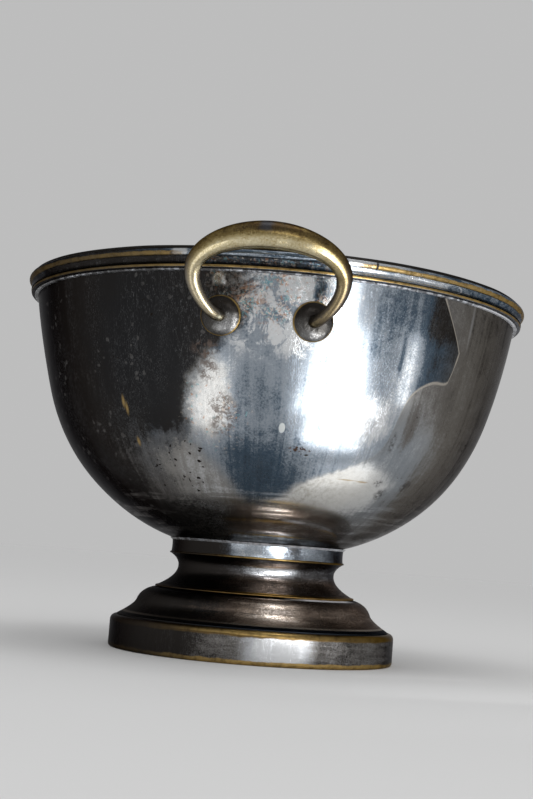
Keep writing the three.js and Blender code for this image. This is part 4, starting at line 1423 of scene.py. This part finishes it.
clear_selection()
nut_middle, nut_height = (nut_low.z + nut_high.z) / 2, nut_high.z - nut_low.z
bpy.ops.mesh.primitive_cylinder_add(vertices=6, radius=nut_high.x, depth=nut_height * NUT_BLANK,
                                    location=(0, 0, nut_middle), rotation=(0, 0, QUARTER))
nut = bpy.context.object
nut.name = "foot_nut"
apply_place()
nut_flat = nut_high.y - NUT_FLAT_INSET
nut_outline = [
    (bolt_hole, nut_low.z + HOLE_GAP),
    (bolt_hole + HOLE_GAP, nut_low.z),
    (nut_flat, nut_low.z),
    (nut_high.x + HOLE_GAP, nut_low.z + NUT_CHAMFER),
    (nut_high.x + HOLE_GAP, nut_high.z - NUT_CHAMFER),
    (nut_flat, nut_high.z),
    (bolt_hole + HOLE_GAP, nut_high.z),
    (bolt_hole, nut_high.z - HOLE_GAP),
]
turning = spin(trace("nut_turning", nut_outline), SMALL_STEPS)
clear_selection()
pick(nut)
cut = nut.modifiers.new("turned", "BOOLEAN")
cut.operation = "INTERSECT"
cut.object = turning
bpy.ops.object.modifier_apply(modifier="turned")
bpy.data.objects.remove(turning)
fit(nut, TURNED_BRASS, "clamp_nut")

# Floor and light. A plain pale floor that runs on into a surround of the same tone, and soft
# lamps. The low ones stand close in front, where the bowl's wall mirrors the floor.
FLOOR_SIZE = 14
FLOOR_SHARE = 0.60
FLOOR_ROUGHNESS = 0.9
FLOOR_SHEEN = 0.1
SKY_LEVEL = 0.85
LAMP_AIM = Vector((0, 0, 0.15))

# Each lamp's lower and upper edge's middle, its width, and how much brighter than white it looks
LAMPS = {
    "window_near": ((0.104, -0.180, 0.026), (0.170, -0.302, 0.056), 0.10, 4),
    "window_low": ((0.140, -0.262, 0.024), (0.24, -0.41, 0.12), 0.17, 5),
    "window_high": ((0.24, -0.45, 0.10), (0.33, -0.58, 0.24), 0.10, 5),
    "floor_glow": ((0.065, -0.135, 0.02), (0.16, -0.095, 0.02), 0.05, 0.6),
    "side_pane": ((0.284, -0.173, 0.080), (0.349, -0.220, 0.158), 0.032, 1.6),
    "side_low": ((0.190, -0.200, 0.062), (0.222, -0.226, 0.084), 0.034, 1.5),
    "left_pane": ((-0.108, -0.232, 0.01), (-0.17, -0.43, 0.06), 0.10, 0.85),
    "front_window": ((0.20, -1.30, 0.35), (0.20, -1.25, 0.75), 0.5, 2.2),
    "ceiling": ((0.1, -0.5, 1.5), (0.1, 0.1, 1.5), 0.6, 3),
}

clear_selection()
bpy.ops.mesh.primitive_plane_add(size=FLOOR_SIZE, location=(0, 0, 0))
floor = bpy.context.object
floor.name = "floor"
floor_paint = bpy.data.materials.new("floor_paint")
floor_paint.use_nodes = True
paint = floor_paint.node_tree.nodes["Principled BSDF"].inputs
paint["Base Color"].default_value = (FLOOR_SHARE, FLOOR_SHARE, FLOOR_SHARE, 1)
paint["Roughness"].default_value = FLOOR_ROUGHNESS
paint["Specular IOR Level"].default_value = FLOOR_SHEEN
floor.data.materials.append(floor_paint)
floor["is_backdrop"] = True

world = bpy.data.worlds.new("surround")
bpy.context.scene.world = world
world.use_nodes = True
sky = Nodes(world.node_tree)
background = world.node_tree.nodes["Background"].inputs
background["Color"].default_value = (1, 1, 1, 1)
rays = sky.add("ShaderNodeLightPath").outputs
mirrored = sky.math("MAXIMUM", rays["Is Glossy Ray"], rays["Is Transmission Ray"])
seen = sky.math("MAXIMUM", rays["Is Camera Ray"], mirrored)
sky.feed(sky.blend(seen, SKY_LEVEL, SKY_LEVEL * FLOOR_SHARE), background["Strength"])


def lamp(name, low, high, width, level):
    """A soft rectangular lamp between the middles of its lower and upper edge, facing the bowl."""
    low, high = Vector(low), Vector(high)
    middle, up = (low + high) / 2, (high - low).normalized()
    across = (LAMP_AIM - middle).cross(up).normalized()
    light = bpy.data.lights.new(name, "AREA")
    light.shape = "RECTANGLE"
    light.size, light.size_y = width, (high - low).length
    light.energy = level * math.pi * light.size * light.size_y
    holder = bpy.data.objects.new(name, light)
    bpy.context.scene.collection.objects.link(holder)
    facing = Matrix((across, up, across.cross(up))).transposed().to_4x4()
    holder.matrix_world = Matrix.Translation(middle) @ facing
    holder.visible_camera = False


for name, (low, high, width, level) in LAMPS.items():
    lamp(name, low, high, width, level)

# Camera. It looks a little up at the bowl from the front, turned and rolled as the photo is.
LENS = 63.54
SENSOR = 36
CAMERA_HEIGHT = 0.0699
CAMERA_DISTANCE = 0.9689
CAMERA_PITCH = math.radians(6.138)
CAMERA_YAW = math.radians(-0.105)
CAMERA_ROLL = math.radians(4.384)
OBJECT_TURN = math.radians(1.77)

forward = Vector((math.sin(CAMERA_YAW) * math.cos(CAMERA_PITCH),
                  math.cos(CAMERA_YAW) * math.cos(CAMERA_PITCH), math.sin(CAMERA_PITCH)))
level = Vector((math.cos(CAMERA_YAW), -math.sin(CAMERA_YAW), 0))
upright = level.cross(forward)
right = math.cos(CAMERA_ROLL) * level + math.sin(CAMERA_ROLL) * upright
up = -math.sin(CAMERA_ROLL) * level + math.cos(CAMERA_ROLL) * upright
aim = Matrix((right, up, -forward)).transposed().to_4x4()
camera_data = bpy.data.cameras.new("camera")
camera_data.lens = LENS
camera_data.sensor_width = SENSOR
camera = bpy.data.objects.new("camera", camera_data)
bpy.context.scene.collection.objects.link(camera)
bpy.context.scene.camera = camera
camera.matrix_world = (Matrix.Rotation(OBJECT_TURN, 4, "Z")
                       @ Matrix.Translation((0, -CAMERA_DISTANCE, CAMERA_HEIGHT)) @ aim)
bpy.context.scene.view_settings.view_transform = "Standard"

low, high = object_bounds()
